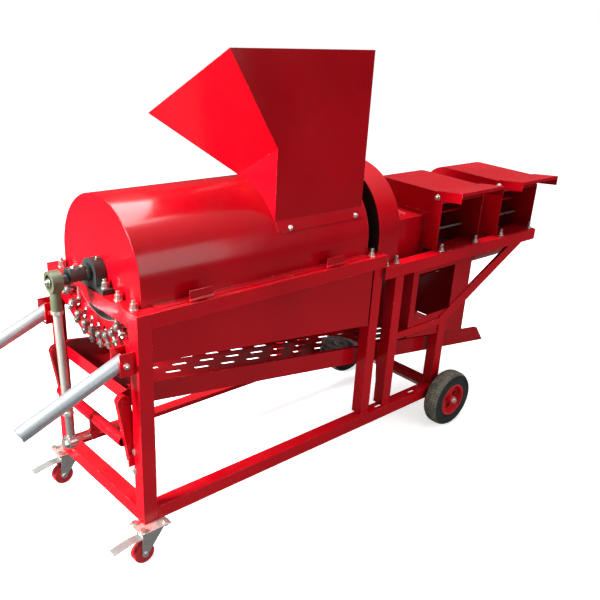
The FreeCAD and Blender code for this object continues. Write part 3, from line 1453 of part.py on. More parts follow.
def impeller(x0, x1):
    """A paddle fan wheel: a hub, a back disc and straight blades."""
    start, end = fan_axis(x0 + impeller_side_margin), fan_axis(x1 - impeller_side_margin)
    middle = (start + end) * 0.5
    disc = rod(middle, middle + axis_x * impeller_blade_wall, impeller_disc_radius)
    body = rod(start, end, impeller_hub_radius).fuse(disc)
    half = impeller_blade_wall / 2
    blade = block(start.x, end.x, -half, half, fan_shaft_height + impeller_hub_radius - impeller_blade_wall,
                  fan_shaft_height + impeller_radius)
    for index in range(impeller_blade_count):
        turned = blade.copy()
        turned.rotate(start, axis_x, full_turn * index / impeller_blade_count)
        body = body.fuse(turned)
    return body.cut(rod(start, end, fan_shaft_radius + running_gap)).removeSplitter()


def flap(x0, x1):
    """A deflector flap: a folded sheet with side lips that pivot on the housing's pins."""
    left, right = x0 - side_gap - flap_wall, x1 + side_gap + flap_wall
    top = [(flap_back_y, flap_back_z), (flap_tip_y, flap_tip_z), (flap_tip_y, flap_tip_z + flap_wall)]
    top.append((flap_back_y, flap_back_z + flap_wall))
    body = plate(in_yz(left, top), axis_x * (right - left))
    lip_base = flap_tip_z - flap_front_lip
    body = body.fuse(block(left, right, flap_tip_y, flap_tip_y + flap_wall, lip_base, flap_tip_z))
    lip = [(flap_back_y, flap_back_z), (flap_tip_y, flap_tip_z), (flap_tip_y, flap_tip_z - flap_lip_depth)]
    lip.append((flap_back_y, flap_back_z - flap_lip_depth))
    for x in (left, right - flap_wall):
        pivot = Vector(x, flap_pivot_y, flap_pivot_z)
        run = axis_x * flap_wall
        body = body.fuse([plate(in_yz(x, lip), run), rod(pivot, pivot + run, flap_eye_radius)])
    for x in (left, right - flap_wall):
        pivot = Vector(x, flap_pivot_y, flap_pivot_z)
        body = body.cut(rod(pivot, pivot + axis_x * flap_wall, flap_pin_radius + running_gap))
    return body.removeSplitter()


def suction_duct():
    """The duct that draws the husks off the sieve, with a window on the near side."""
    half, wall = duct_half_width, sheet_wall
    outer = [pan_line(duct_start, -duct_sieve_gap), pan_line(duct_end, -duct_sieve_gap)]
    outer += [(duct_end, duct_top), (duct_start, duct_top)]
    start, end = duct_start + wall, duct_end - wall
    inner = [pan_line(start, cut_over), pan_line(end, cut_over)]
    inner += [(end, duct_top - wall), (start, duct_top - wall)]
    body = plate(in_xz(-half, outer), axis_y * (2 * half))
    body = body.cut(plate(in_xz(wall - half, inner), axis_y * (2 * half - 2 * wall)))
    opening = block(start, fan_front_start, -cover_opening_half, cover_opening_half,
                    duct_top - wall - cut_over, duct_top + cut_over)
    window = block(window_start, window_end, -half - cut_over, wall - half + cut_over,
                   window_base, window_top)
    grown = Vector(fan_front_start - side_gap, 0, 0)
    scroll = scroll_face(grown.x, -side_gap, side_gap).extrude(axis_x * (duct_end - grown.x + cut_over))
    flange = block(rear_post_x - side_gap, rear_post_x + angle_wall + side_gap, -post_face,
                   side_gap + angle_leg - post_face, rail_top, rear_post_top + side_gap)
    brace = brace_bar(angle_leg + 2 * side_gap, angle_wall + 2 * side_gap, -side_gap)
    cutters = [opening, window, scroll, flange, far(flange), brace, far(brace)]
    return body.cut(cutters).removeSplitter()


def build_covers():
    """Hood, hopper, guard, cover, suction duct, fan housings and their flaps."""
    save("drum_hood", drum_hood())
    save("feed_hopper", feed_hopper())
    save("pulley_guard", pulley_guard())
    save("fan_drive_cover", fan_drive_cover())
    save("suction_duct", suction_duct())
    save("fan_housing_front", bored_housing(fan_front_start, fan_front_end, -1).removeSplitter())
    rear = bored_housing(fan_rear_start, fan_rear_end, 1)
    save("fan_housing_rear", rear.fuse(inlet_box()).removeSplitter())
    save("flap_front", flap(fan_front_start, fan_front_end))
    save("flap_rear", flap(fan_rear_start, fan_rear_end))


def build_fans():
    """Fan shaft, its drive pulley and the two impellers."""
    save("fan_shaft", rod(fan_axis(fan_shaft_start), fan_axis(fan_shaft_end), fan_shaft_radius))
    hub = (fan_pulley_radius + fan_shaft_radius) / 3
    save("fan_pulley", v_pulley(fan_axis(fan_pulley_start), axis_x, fan_pulley_width, fan_pulley_radius,
                                fan_pulley_groove_count, motor_pulley_rim_wall, motor_pulley_web_wall, hub,
                                fan_shaft_radius + running_gap))
    save("impeller_front", impeller(fan_front_start, fan_front_end))
    save("impeller_rear", impeller(fan_rear_start, fan_rear_end))


def push_handle():
    """A galvanised tube that hinges on its bracket's bolt and hangs on the bracket's lip."""
    slope = math.radians(handle_angle)
    out = Vector(-math.cos(slope), 0, -math.sin(slope))
    pivot = Vector(handle_pivot_x, -handle_pivot_y, handle_pivot_z)
    tube = pipe(pivot - out * handle_tail, pivot + out * handle_length, handle_radius, handle_wall)
    side = axis_y * (handle_radius + cut_over)
    return tube.cut(rod(pivot - side, pivot + side, handle_pin_radius + running_gap))


def stud_and_nut(x, y, base):
    """A stud standing on a face with its washer and nut."""
    foot = Vector(x, y, base)
    seat = foot + axis_z * washer_height
    body = rod(foot, seat, washer_radius).fuse(hexagon(seat, seat + axis_z * nut_height, nut_radius))
    return body.fuse(rod(foot, foot + axis_z * stud_rise, bolt_radius)).removeSplitter()


def bolt_head(face, out, length):
    """A hexagonal head that sits on a face."""
    return hexagon(face, face + out * length, nut_radius)


def frame_fasteners():
    """The studs, nuts and bolt heads that sit on the frame."""
    parts = []
    foot_top = drum_rail_height + bearing_foot_height
    middle = angle_leg / 2
    for side in (-1, 1):
        for x in (bearing_x_front, bearing_x_rear):
            parts.append(stud_and_nut(x, side * bearing_bolt_reach, foot_top))
        for y in bridge_stud_places:
            parts.append(stud_and_nut(middle, side * y, drum_rail_height))
        parts.append(stud_and_nut(middle_post_x - washer_radius, side * (half_width - angle_leg / 2),
                                  drum_rail_height))
        floor = fan_rail_height + sheet_wall
        for x in (fan_rail_start + washer_radius + angle_wall, guard_end - washer_radius - sheet_wall):
            parts.append(stud_and_nut(x, side * (guard_radius + washer_radius), floor))
        for x in (fan_front_start, fan_front_end - 2 * middle, fan_rear_start, fan_rear_end - 2 * middle):
            parts.append(stud_and_nut(x + middle, side * (fan_floor_reach - washer_radius), floor))
        for rise in (-pivot_bolt_rise, pivot_bolt_rise):
            face = Vector(0, side * (rail_inner + nut_radius), rocker_pivot_z + rise)
            parts.append(bolt_head(face, axis_x * -1, head_height))
        for along in (-1, 1):
            x = caster_plate_x + along * (caster_plate_length / 2 - washer_radius)
            for across in (-1, 1):
                y = side * half_width + across * (caster_plate_width / 2 - washer_radius)
                face = Vector(x, y, rail_base - caster_plate_wall)
                parts.append(bolt_head(face, axis_z * -1, head_height))
                if x < -nut_radius or abs(y) > half_width + nut_radius:
                    parts.append(bolt_head(Vector(x, y, rail_base), axis_z, nut_height))
    return group(parts)


build_frame()
build_rear_wheels()
build_casters()
build_drive()
build_rockers()
build_trough()
build_concave()
build_covers()
build_fans()
save_pair("push_handle", push_handle())
save("frame_fasteners", frame_fasteners())
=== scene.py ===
import math

import bpy
from mathutils import Matrix, Vector


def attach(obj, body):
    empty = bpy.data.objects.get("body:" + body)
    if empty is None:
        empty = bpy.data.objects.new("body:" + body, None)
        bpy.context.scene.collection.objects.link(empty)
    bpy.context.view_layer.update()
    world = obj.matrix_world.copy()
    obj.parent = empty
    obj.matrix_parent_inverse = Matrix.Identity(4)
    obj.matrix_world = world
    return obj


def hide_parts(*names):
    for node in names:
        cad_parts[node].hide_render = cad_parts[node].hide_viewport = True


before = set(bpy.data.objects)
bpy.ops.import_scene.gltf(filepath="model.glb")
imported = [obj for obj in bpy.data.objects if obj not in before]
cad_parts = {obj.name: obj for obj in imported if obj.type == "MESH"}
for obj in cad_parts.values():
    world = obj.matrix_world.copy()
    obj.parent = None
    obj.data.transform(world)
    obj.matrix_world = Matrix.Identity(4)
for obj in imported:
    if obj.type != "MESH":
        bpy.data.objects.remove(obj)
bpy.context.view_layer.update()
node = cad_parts
machine = bpy.context.scene


# Red enamel. Everything the maker welded up from angle bar and sheet is sprayed
# in one glossy red: it pools a little unevenly on the sheets, rubs through on the
# sharpest edges and catches dust on what faces up. A pale pink on the rubbed
# edges is partly a painted highlight, painted shade darkens the corners and
# hollows, and the bars carry a lighter copy of the red as painted light.
def effect(name, inputs, outputs):
    """A new node group, with its input and output nodes."""
    group = bpy.data.node_groups.new(name, "ShaderNodeTree")
    kinds = {"number": "NodeSocketFloat", "colour": "NodeSocketColor",
             "direction": "NodeSocketVector"}
    for label, kind in inputs:
        group.interface.new_socket(label, in_out="INPUT", socket_type=kinds[kind])
    for label, kind in outputs:
        group.interface.new_socket(label, in_out="OUTPUT", socket_type=kinds[kind])
    return group, group.nodes.new("NodeGroupInput"), group.nodes.new("NodeGroupOutput")


def put(tree, kind, settings=None, **sockets):
    """A node with its settings, and its sockets, by name or as i and a number, linked or set."""
    made = tree.nodes.new(kind)
    for label, value in (settings or {}).items():
        setattr(made, label, value)
    for label, value in sockets.items():
        numbered = label[0] == "i" and label[1:].isdigit()
        socket = made.inputs[int(label[1:]) if numbered else label]
        if isinstance(value, bpy.types.NodeSocket):
            tree.links.new(value, socket)
        else:
            socket.default_value = value
    return made


def maths(tree, operation, first, second):
    """A sum or a product of two numbers."""
    return put(tree, "ShaderNodeMath", {"operation": operation}, i0=first, i1=second).outputs[0]


def opaque(colour):
    """A colour with nothing showing through it."""
    return tuple(colour) + (1.0,)


def blend_of(tree, share, first, second):
    """One colour laid over another."""
    mix = put(tree, "ShaderNodeMix", {"data_type": "RGBA"}, i0=share, i6=first, i7=second)
    return mix.outputs[2]


def ramp(tree, value, low, high, start=0.0, end=1.0):
    """A number's range stretched to another, and held at its ends."""
    return put(tree, "ShaderNodeMapRange", {"clamp": True}, i0=value, i1=low, i2=high, i3=start,
               i4=end).outputs[0]


def noise(tree, scale, detail=3.0, roughness=0.5):
    """Cloudy noise on the object's own metres."""
    place = put(tree, "ShaderNodeTexCoord").outputs["Object"]
    return put(tree, "ShaderNodeTexNoise", Vector=place, Scale=scale, Detail=detail,
               Roughness=roughness).outputs["Fac"]


def clouds(tree, scale, detail, start=0.0, end=1.0, roughness=0.5):
    """The middle of a noise's range, stretched to another range."""
    return ramp(tree, noise(tree, scale, detail, roughness), 0.3, 0.7, start, end)


def rub_effect():
    """Edges found by how far a rounded normal leaves the true one, broken up by noise."""
    group, entry, leave = effect(
        "edge rub", [("Colour", "colour"), ("Roughness", "number"), ("Bare", "colour"),
                     ("Amount", "number"), ("Size", "number")],
        [("Colour", "colour"), ("Roughness", "number")])
    rounded = put(group, "ShaderNodeBevel", {"samples": 4}, Radius=0.0022).outputs[0]
    flat = put(group, "ShaderNodeNewGeometry").outputs["Normal"]
    facing = put(group, "ShaderNodeVectorMath", {"operation": "DOT_PRODUCT"}, i0=rounded, i1=flat)
    edge = ramp(group, facing.outputs["Value"], 0.99, 0.86)
    patch = noise(group, entry.outputs["Size"], 5.0, 0.7)
    worn = maths(group, "MULTIPLY", edge, ramp(group, patch, 0.56, 0.62))
    worn = maths(group, "MULTIPLY", worn, entry.outputs["Amount"])
    shown = blend_of(group, worn, entry.outputs["Colour"], entry.outputs["Bare"])
    group.links.new(shown, leave.inputs[0])
    rough = maths(group, "ADD", entry.outputs["Roughness"], maths(group, "MULTIPLY", worn, 0.25))
    group.links.new(rough, leave.inputs[1])
    return group


def dust_effect():
    """Dust that settles on what faces up and stays off what hangs over."""
    group, entry, leave = effect(
        "settled dust", [("Colour", "colour"), ("Roughness", "number"), ("Dust", "colour"),
                         ("Amount", "number"), ("Size", "number")],
        [("Colour", "colour"), ("Roughness", "number")])
    facing = put(group, "ShaderNodeNewGeometry").outputs["Normal"]
    up = put(group, "ShaderNodeSeparateXYZ", i0=facing).outputs[2]
    lying = ramp(group, up, 0.25, 0.95, 0.12, 1.0)
    cloud = noise(group, entry.outputs["Size"], 6.0, 0.65)
    cover = maths(group, "MULTIPLY", lying, ramp(group, cloud, 0.38, 0.75))
    cover = maths(group, "MULTIPLY", cover, entry.outputs["Amount"])
    shown = blend_of(group, cover, entry.outputs["Colour"], entry.outputs["Dust"])
    group.links.new(shown, leave.inputs[0])
    rough = maths(group, "ADD", entry.outputs["Roughness"], maths(group, "MULTIPLY", cover, 0.5))
    group.links.new(rough, leave.inputs[1])
    return group


def ripple_effect():
    """The slight waves of a rolled sheet under the fine orange peel of sprayed paint."""
    group, entry, leave = effect(
        "sprayed skin", [("Wave size", "number"), ("Wave height", "number"),
                         ("Peel size", "number"), ("Peel height", "number")],
        [("Normal", "direction")])
    waves = noise(group, entry.outputs["Wave size"], 1.0)
    peel = noise(group, entry.outputs["Peel size"], 2.0)
    height = maths(group, "ADD", maths(group, "MULTIPLY", waves, entry.outputs["Wave height"]),
                   maths(group, "MULTIPLY", peel, entry.outputs["Peel height"]))
    rounded = put(group, "ShaderNodeBevel", {"samples": 6}, Radius=0.0028).outputs[0]
    bump = put(group, "ShaderNodeBump", Strength=1.0, Distance=1.0, Height=height, Normal=rounded)
    group.links.new(bump.outputs[0], leave.inputs[0])
    return group


edge_rub, settled_dust, sprayed_skin = rub_effect(), dust_effect(), ripple_effect()


def finish_material(name, **sockets):
    """A material with its shader, whose plain values are set on the shader itself."""
    made = bpy.data.materials.new(name)
    made.use_nodes = True
    shader = made.node_tree.nodes["Principled BSDF"]
    for label, value in sockets.items():
        shader.inputs[label.replace("_", " ")].default_value = value
    return made, made.node_tree, shader


def rub(tree, colour, roughness, bare, amount, size):
    """A colour and a roughness with the edges rubbed bare."""
    group = put(tree, "ShaderNodeGroup", {"node_tree": edge_rub}, Colour=colour, Roughness=roughness,
                Bare=opaque(bare), Amount=amount, Size=size)
    return group.outputs[0], group.outputs[1]


def settle(tree, shader, colour, roughness, dust, amount, size):
    """Dust over a colour and a roughness, joined to the shader."""
    group = put(tree, "ShaderNodeGroup", {"node_tree": settled_dust}, Colour=colour, Roughness=roughness,
                Dust=opaque(dust), Amount=amount, Size=size)
    tree.links.new(group.outputs[0], shader.inputs["Base Color"])
    tree.links.new(group.outputs[1], shader.inputs["Roughness"])


def ripple(tree, shader, wave_size, wave_height, peel_size, peel_height):
    """Waves and orange peel on the shader's normal."""
    skin = put(tree, "ShaderNodeGroup", {"node_tree": sprayed_skin})
    for socket, value in zip(skin.inputs, (wave_size, wave_height, peel_size, peel_height)):
        socket.default_value = value
    tree.links.new(skin.outputs[0], shader.inputs["Normal"])


def enamel(name, colour, wave_height):
    """Sprayed enamel in one colour, with painted shade darkening its corners and hollows."""
    made, tree, shader = finish_material(name, Specular_IOR_Level=0.3, Coat_Weight=0.14,
                                         Coat_Roughness=0.06)
    deep = tuple(part * 0.72 for part in colour)
    base = blend_of(tree, clouds(tree, 2.2, 4.0), opaque(colour), opaque(deep))
    # Painted shade: ambient occlusion darkens the red towards near black in corners, hollows and between
    # parts.
    open_air = put(tree, "ShaderNodeAmbientOcclusion", {"samples": 6}, Distance=0.30).outputs["AO"]
    painted_shade = ramp(tree, open_air, 0.08, 0.50, 0.55, 0.0)
    base = blend_of(tree, painted_shade, base, opaque((0.06, 0.002, 0.003)))
    # The pale pink on the rubbed edges is partly wear through the paint and partly a painted highlight
    # along the edges.
    rubbed = rub(tree, base, clouds(tree, 7.0, 4.0, 0.15, 0.24), (0.62, 0.30, 0.27), 0.6, 30.0)
    settle(tree, shader, *rubbed, (0.42, 0.30, 0.27), 0.03, 9.0)
    ripple(tree, shader, 3.2, wave_height, 260.0, 0.000004)
    return made


def dress(material, *names):
    """The material in every slot of the nodes named."""
    for name in names:
        for slot in node[name].material_slots:
            slot.material = material


# The bars get the sheets' red made lighter, as painted light for the brighter look of the narrow bars.
bar_red_with_painted_light = enamel("red enamel on bar, lightened as painted light", (0.70, 0.0012, 0.0100), 0.00004)
sheet_red = enamel("red enamel on sheet", (0.56, 0.0010, 0.0085), 0.0006)
dress(bar_red_with_painted_light, "side_frame_near", "side_frame_far", "cross_bars", "front_bearing_bridge",
      "rear_bearing_bridge", "rocker_arm_near", "rocker_arm_far", "rocker_tube", "drive_lever",
      "rocker_pivot_near", "rocker_pivot_far", "rear_rocker_near", "rear_rocker_far")
dress(sheet_red, "mill_casing", "pulley_guard", "fan_drive_cover", "fan_housing_front",
      "fan_housing_rear", "suction_duct", "drum_hood", "feed_hopper", "flap_front", "flap_rear",
      "sieve_pan", "sieve_deck")


# Zinc-plated hardware. The bolts, nuts, caster irons and concave adjusters are
# plated bright and slightly yellow, and smudge to grey where oil has got on them.
def plated(name, light, dark, low, high, size, sprayed=0.0):
    """Plated metal with soft smudges in its colour and polish, and stray red paint where sprayed."""
    made, tree, shader = finish_material(name, Metallic=0.92)
    smudge = ramp(tree, noise(tree, size, 5.0, 0.6), 0.32, 0.68)
    stain = maths(tree, "MULTIPLY", clouds(tree, size * 9.0, 3.0), 0.25)
    base = blend_of(tree, smudge, opaque(light), opaque(dark))
    base = blend_of(tree, stain, base, opaque((0.30, 0.27, 0.22)))
    if sprayed > 0.0:
        mist = maths(tree, "MULTIPLY", ramp(tree, noise(tree, 24.0, 5.0), 0.36, 0.60), sprayed)
        base = blend_of(tree, mist, base, opaque((0.70, 0.16, 0.13)))
        tree.links.new(ramp(tree, mist, 0.0, 1.0, 0.92, 0.1), shader.inputs["Metallic"])
    polish = ramp(tree, smudge, 0.0, 1.0, low, high)
    settle(tree, shader, base, polish, (0.36, 0.31, 0.27), 0.14, size)
    ripple(tree, shader, size, 0.00003, 900.0, 0.000012)
    return made


zinc = plated("zinc plating", (0.84, 0.83, 0.78), (0.60, 0.58, 0.53), 0.22, 0.40, 40.0)
oiled_zinc = plated("oiled zinc on the adjusters", (0.52, 0.50, 0.45), (0.17, 0.16, 0.14), 0.26,
                    0.44, 60.0)
bright_steel = plated("turned steel", (0.70, 0.69, 0.67), (0.52, 0.51, 0.49), 0.22, 0.38, 26.0)
pale_zinc = plated("pale zinc on caster irons", (0.90, 0.92, 0.90), (0.70, 0.73, 0.71), 0.28, 0.46,
                   30.0)
misted_zinc = plated("zinc with red overspray", (0.90, 0.90, 0.86), (0.70, 0.70, 0.66), 0.30, 0.5,
                     30.0, sprayed=0.8)
dull_zinc = plated("dull zinc on the shaking rod", (0.74, 0.72, 0.65), (0.62, 0.60, 0.54), 0.44,
                   0.58, 9.0)
dress(zinc, "frame_fasteners", "rocker_stud")
dress(oiled_zinc, "rod_adjusters")
dress(dull_zinc, "connecting_rod")
dress(pale_zinc, "caster_fork_near", "caster_fork_far", "caster_pedal_near", "caster_pedal_far")
dress(misted_zinc, "caster_plate_near", "caster_plate_far", "rear_axle")
dress(bright_steel, "drum_shaft", "fan_shaft", "concave_rods", "lower_rod_end")


# Galvanised tube and sheet. Hot-dip zinc freezes in flat crystals, so the push
# handles and the husker's bent sheet show faint grey spangles.
def roughen(tree, shader, strength, distance, height):
    """A bump on the shader's normal."""
    bump = put(tree, "ShaderNodeBump", Strength=strength, Distance=distance, Height=height)
    tree.links.new(bump.outputs[0], shader.inputs["Normal"])


def spangled(name, light, dark):
    """Hot-dip zinc: flat crystals about 7 mm wide, each a slightly different grey."""
    made, tree, shader = finish_material(name, Metallic=0.85)
    crystals_per_metre = 140.0
    place = put(tree, "ShaderNodeTexCoord").outputs["Object"]
    crystal = put(tree, "ShaderNodeTexVoronoi", {"feature": "F1"}, Vector=place,
                  Scale=crystals_per_metre, Randomness=1.0)
    tint = put(tree, "ShaderNodeSeparateColor", i0=crystal.outputs["Color"]).outputs[0]
    drift = clouds(tree, crystals_per_metre * 0.15, 4.0)
    tint = maths(tree, "ADD", maths(tree, "MULTIPLY", tint, 0.55),
                 maths(tree, "MULTIPLY", drift, 0.45))
    base = blend_of(tree, tint, opaque(light), opaque(dark))
    polish = ramp(tree, tint, 0.0, 1.0, 0.30, 0.50)
    settle(tree, shader, base, polish, (0.40, 0.37, 0.34), 0.18, 12.0)
    roughen(tree, shader, 0.3, 0.0003, tint)
    return made


galvanised = spangled("galvanised zinc", (0.73, 0.78, 0.81), (0.51, 0.56, 0.60))
# A much darker copy of the galvanised zinc: husk dust dulls the husker sheet, and on the impellers deep
# in the fan housings the dark is painted shade.
husk_dulled_and_shaded_galvanised = spangled("galvanised zinc dulled by husks and by painted shade", (0.30, 0.31, 0.30), (0.19, 0.20, 0.20))
dress(galvanised, "push_handle_near", "push_handle_far")
dress(husk_dulled_and_shaded_galvanised, "husker_sheet", "impeller_front", "impeller_rear")


# Cast iron. The bearings, hub, pulleys and drum are sand castings: a grainy skin
# under thin dark paint, with bright metal where a belt or a tool has touched it.
def casting(name, colour, worn, low, high, grain=0.00018, metal=0.0):
    """Painted sand casting, with its edges worn to the metal and sand grain in its skin."""
    made, tree, shader = finish_material(name, Metallic=metal, Coat_Weight=0.08, Coat_Roughness=0.35)
    pale = tuple(part * 1.7 for part in colour)
    base = blend_of(tree, clouds(tree, 30.0, 5.0, roughness=0.6), opaque(colour), opaque(pale))
    rubbed = rub(tree, base, clouds(tree, 55.0, 4.0, low, high), worn, 0.8, 60.0)
    settle(tree, shader, *rubbed, (0.30, 0.28, 0.25), 0.10, 22.0)
    roughen(tree, shader, 1.0, grain, noise(tree, 520.0, 4.0, 0.7))
    return made


dark_casting = casting("dark painted casting", (0.016, 0.022, 0.020), (0.34, 0.33, 0.30), 0.34, 0.55)
green_casting = casting("olive painted rod end", (0.070, 0.080, 0.042), (0.38, 0.37, 0.32), 0.36, 0.55)
pulley_casting = casting("oiled pulley iron", (0.26, 0.27, 0.26), (0.46, 0.46, 0.44), 0.36, 0.55,
                         grain=0.00025, metal=0.2)
drum_casting = casting("worn drum steel", (0.055, 0.052, 0.050), (0.20, 0.19, 0.18), 0.5, 0.7,
                       grain=0.00025, metal=0.1)
dress(dark_casting, "front_bearing", "rear_bearing", "drum_pulley", "crank_hub", "fan_pulley")
dress(green_casting, "crank_rod_end")
dress(pulley_casting, "motor_pulley")
dress(drum_casting, "beater_drum")


# Moulded wheels. The casters run on wheels moulded in one red piece, and the rear
# tyres on red moulded centres, a little translucent and scuffed paler by handling.
def moulded(name, colour, scuffed):
    """Moulded polyurethane with scuffs."""
    made, tree, shader = finish_material(name, Subsurface_Weight=0.08, Subsurface_Scale=0.004,
                                         Coat_Weight=0.15, Coat_Roughness=0.3)
    scuff = ramp(tree, noise(tree, 130.0, 5.0, 0.7), 0.52, 0.72, 0.0, 0.5)
    base = blend_of(tree, scuff, opaque(colour), opaque(scuffed))
    polish = ramp(tree, scuff, 0.0, 0.5, 0.30, 0.55)
    settle(tree, shader, base, polish, (0.42, 0.36, 0.33), 0.2, 60.0)
    roughen(tree, shader, 0.5, 0.0001, noise(tree, 700.0, 2.0))
    return made


caster_red = moulded("red caster tyre", (0.62, 0.008, 0.016), (0.42, 0.12, 0.11))
centre_red = moulded("red wheel centre", (0.80, 0.010, 0.022), (0.62, 0.16, 0.15))
dress(caster_red, "caster_wheel_near", "caster_wheel_far")
dress(centre_red, "rear_rim_near", "rear_rim_far")


# Rear tyres. Solid rubber with a greenish-black side, and a crown that dry yard
# dust has turned grey between its blocks.
axle = Vector((0.66869, -0.336, 0.130))
tread_base, tread_height, bead, half_tyre = 0.1268, 0.0032, 0.0765, 0.036
shoulder, flank = (half_tyre, 0.915), (half_tyre * 2 / 3, 0.985)
side_rings = (0.012, 0.004, tread_base - bead - 0.021, 0.005)
block_start, block_gap, slack = 0.117, 0.0012, 0.001
tyre_rubber, tyre_tree, tyre_shader = finish_material("tyre rubber", Specular_IOR_Level=0.35)
tyre_place = put(tyre_tree, "ShaderNodeTexCoord").outputs["Object"]
spread_out = put(tyre_tree, "ShaderNodeMapping", Vector=tyre_place, Location=(-axle.x, 0.0, -axle.z),
                 Scale=(1.0, 0.0, 1.0)).outputs[0]
away = put(tyre_tree, "ShaderNodeVectorMath", {"operation": "LENGTH"}, i0=spread_out).outputs["Value"]
crown = maths(tyre_tree, "MULTIPLY", ramp(tyre_tree, away, 0.119, 0.125),
              ramp(tyre_tree, noise(tyre_tree, 40.0, 5.0), 0.30, 0.62, 0.35, 0.95))
side_tone = blend_of(tyre_tree, clouds(tyre_tree, 26.0, 5.0), opaque((0.016, 0.022, 0.020)),
                     opaque((0.034, 0.042, 0.038)))
tyre_tone = blend_of(tyre_tree, crown, side_tone, opaque((0.235, 0.215, 0.165)))
settle(tyre_tree, tyre_shader, tyre_tone, clouds(tyre_tree, 44.0, 3.0, 0.52, 0.74),
       (0.20, 0.19, 0.16), 0.35, 30.0)
roughen(tyre_tree, tyre_shader, 0.7, 0.00015, noise(tyre_tree, 600.0, 3.0, 0.6))


def pick(piece, mode, test):
    """Selects, in edit mode, only the vertices, edges or faces that pass the test."""
    bpy.ops.object.mode_set(mode="EDIT")
    bpy.ops.mesh.select_mode(type=mode)
    bpy.ops.mesh.select_all(action="DESELECT")
    bpy.ops.object.mode_set(mode="OBJECT")
    mesh = piece.data
    if mode == "VERT":
        for vertex in mesh.vertices:
            vertex.select = test(vertex.co)
    elif mode == "EDGE":
        for edge in mesh.edges:
            first, last = (mesh.vertices[index].co for index in edge.vertices)
            edge.select = test(first, last)
    else:
        for face in mesh.polygons:
            face.select = test(face.center, face.normal)
    bpy.ops.object.mode_set(mode="EDIT")


def begin(add, name, **sizes):
    """A new primitive, alone in the selection, with its place in its mesh."""
    bpy.ops.object.select_all(action="DESELECT")
    add(**sizes)
    piece = bpy.context.object
    piece.name = piece.data.name = name
    bpy.ops.object.transform_apply(location=True, rotation=True, scale=True)
    return piece


def smooth(degrees):
    """Back to object mode, with the faces shaded smooth over edges up to an angle."""
    bpy.ops.object.mode_set(mode="OBJECT")
    bpy.ops.object.shade_smooth_by_angle(angle=math.radians(degrees))


def from_axle(point):
    """A point's distance from the wheel's axle."""
    return math.hypot(point.x - axle.x, point.z - axle.z)


near_tyre = begin(bpy.ops.mesh.primitive_cylinder_add, "treaded_tyre_near", vertices=54,
                  radius=tread_base, depth=2 * half_tyre, location=axle,
                  rotation=(math.pi / 2, 0.0, 0.0))
pick(near_tyre, "FACE", lambda middle, normal: abs(normal.y) > 0.9)
for ring in side_rings:
    bpy.ops.mesh.inset(thickness=ring)
bpy.ops.mesh.delete(type="FACE")
pick(near_tyre, "EDGE", lambda first, last: max(from_axle(first), from_axle(last)) < bead + slack)
bpy.ops.mesh.bridge_edge_loops()
pick(near_tyre, "EDGE", lambda first, last: abs(first.y - last.y) > half_tyre
     and from_axle(first) > tread_base - slack)
bpy.ops.mesh.subdivide(number_cuts=5)
for offset, share in (shoulder, flank):
    pick(near_tyre, "VERT", lambda point: abs(abs(point.y - axle.y) - offset) < slack
         and from_axle(point) > tread_base - slack)
    bpy.ops.transform.resize(value=(share, 1.0, share), center_override=axle)
pick(near_tyre, "VERT", lambda point: bead + 0.004 < from_axle(point) < tread_base - 0.015)
bpy.ops.transform.resize(value=(1.0, 0.93, 1.0), center_override=axle)
pick(near_tyre, "FACE", lambda middle, normal: from_axle(middle) > block_start
     and abs(middle.y - axle.y) < half_tyre * 0.9)
bpy.ops.mesh.inset(thickness=block_gap, depth=tread_height, use_individual=True)
smooth(35)
near_tyre.data.materials.append(tyre_rubber)


def copy_of(piece, name, matrix):
    """A copy with its own mesh, moved inside that mesh."""
    twin = piece.copy()
    twin.data = piece.data.copy()
    twin.name = twin.data.name = name
    twin.data.transform(matrix)
    if matrix.determinant() < 0:
        twin.data.flip_normals()
    machine.collection.objects.link(twin)
    return twin


far_tyre = copy_of(near_tyre, "treaded_tyre_far", Matrix.Scale(-1, 4, Vector((0.0, 1.0, 0.0))))
for tyre, side in ((near_tyre, "near"), (far_tyre, "far")):
    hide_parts("rear_tyre_" + side)
    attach(tyre, "rear_wheel_" + side)


# Sheet bolts. Plated bolts with washers hold the hopper's flange, the flaps' pivots,
# the handles and the crank pin. Each has a chamfered head and a short threaded end.
def placed(place, out, stretch=1.0):
    """The matrix that stands a piece on a place, along a direction, stretched along it."""
    turn = Vector(out).to_track_quat("Z", "Y").to_matrix().to_4x4()
    return Matrix.Translation(Vector(place)) @ turn @ Matrix.Diagonal((1.0, 1.0, stretch, 1.0))


def scatter(piece, name, matrices, body, material):
    """Copies of one piece, joined into one object that rides on a body."""
    twins = [copy_of(piece, name, matrix) for matrix in matrices]
    bpy.ops.object.select_all(action="DESELECT")
    for twin in twins:
        twin.select_set(True)
    bpy.context.view_layer.objects.active = twins[0]
    if len(twins) > 1:
        bpy.ops.object.join()
    joined = bpy.context.object
    joined.name = joined.data.name = name
    joined.data.materials.clear()
    joined.data.materials.append(material)
    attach(joined, body)


def landing(name, start, along):
    """Where a ray meets a node's surface, and which way the surface faces there."""
    piece = node[name]
    back = piece.matrix_world.inverted()
    place, normal = piece.ray_cast(back @ Vector(start), back.to_3x3() @ Vector(along))[1:3]
    return piece.matrix_world @ place, (piece.matrix_world.to_3x3() @ normal).normalized()


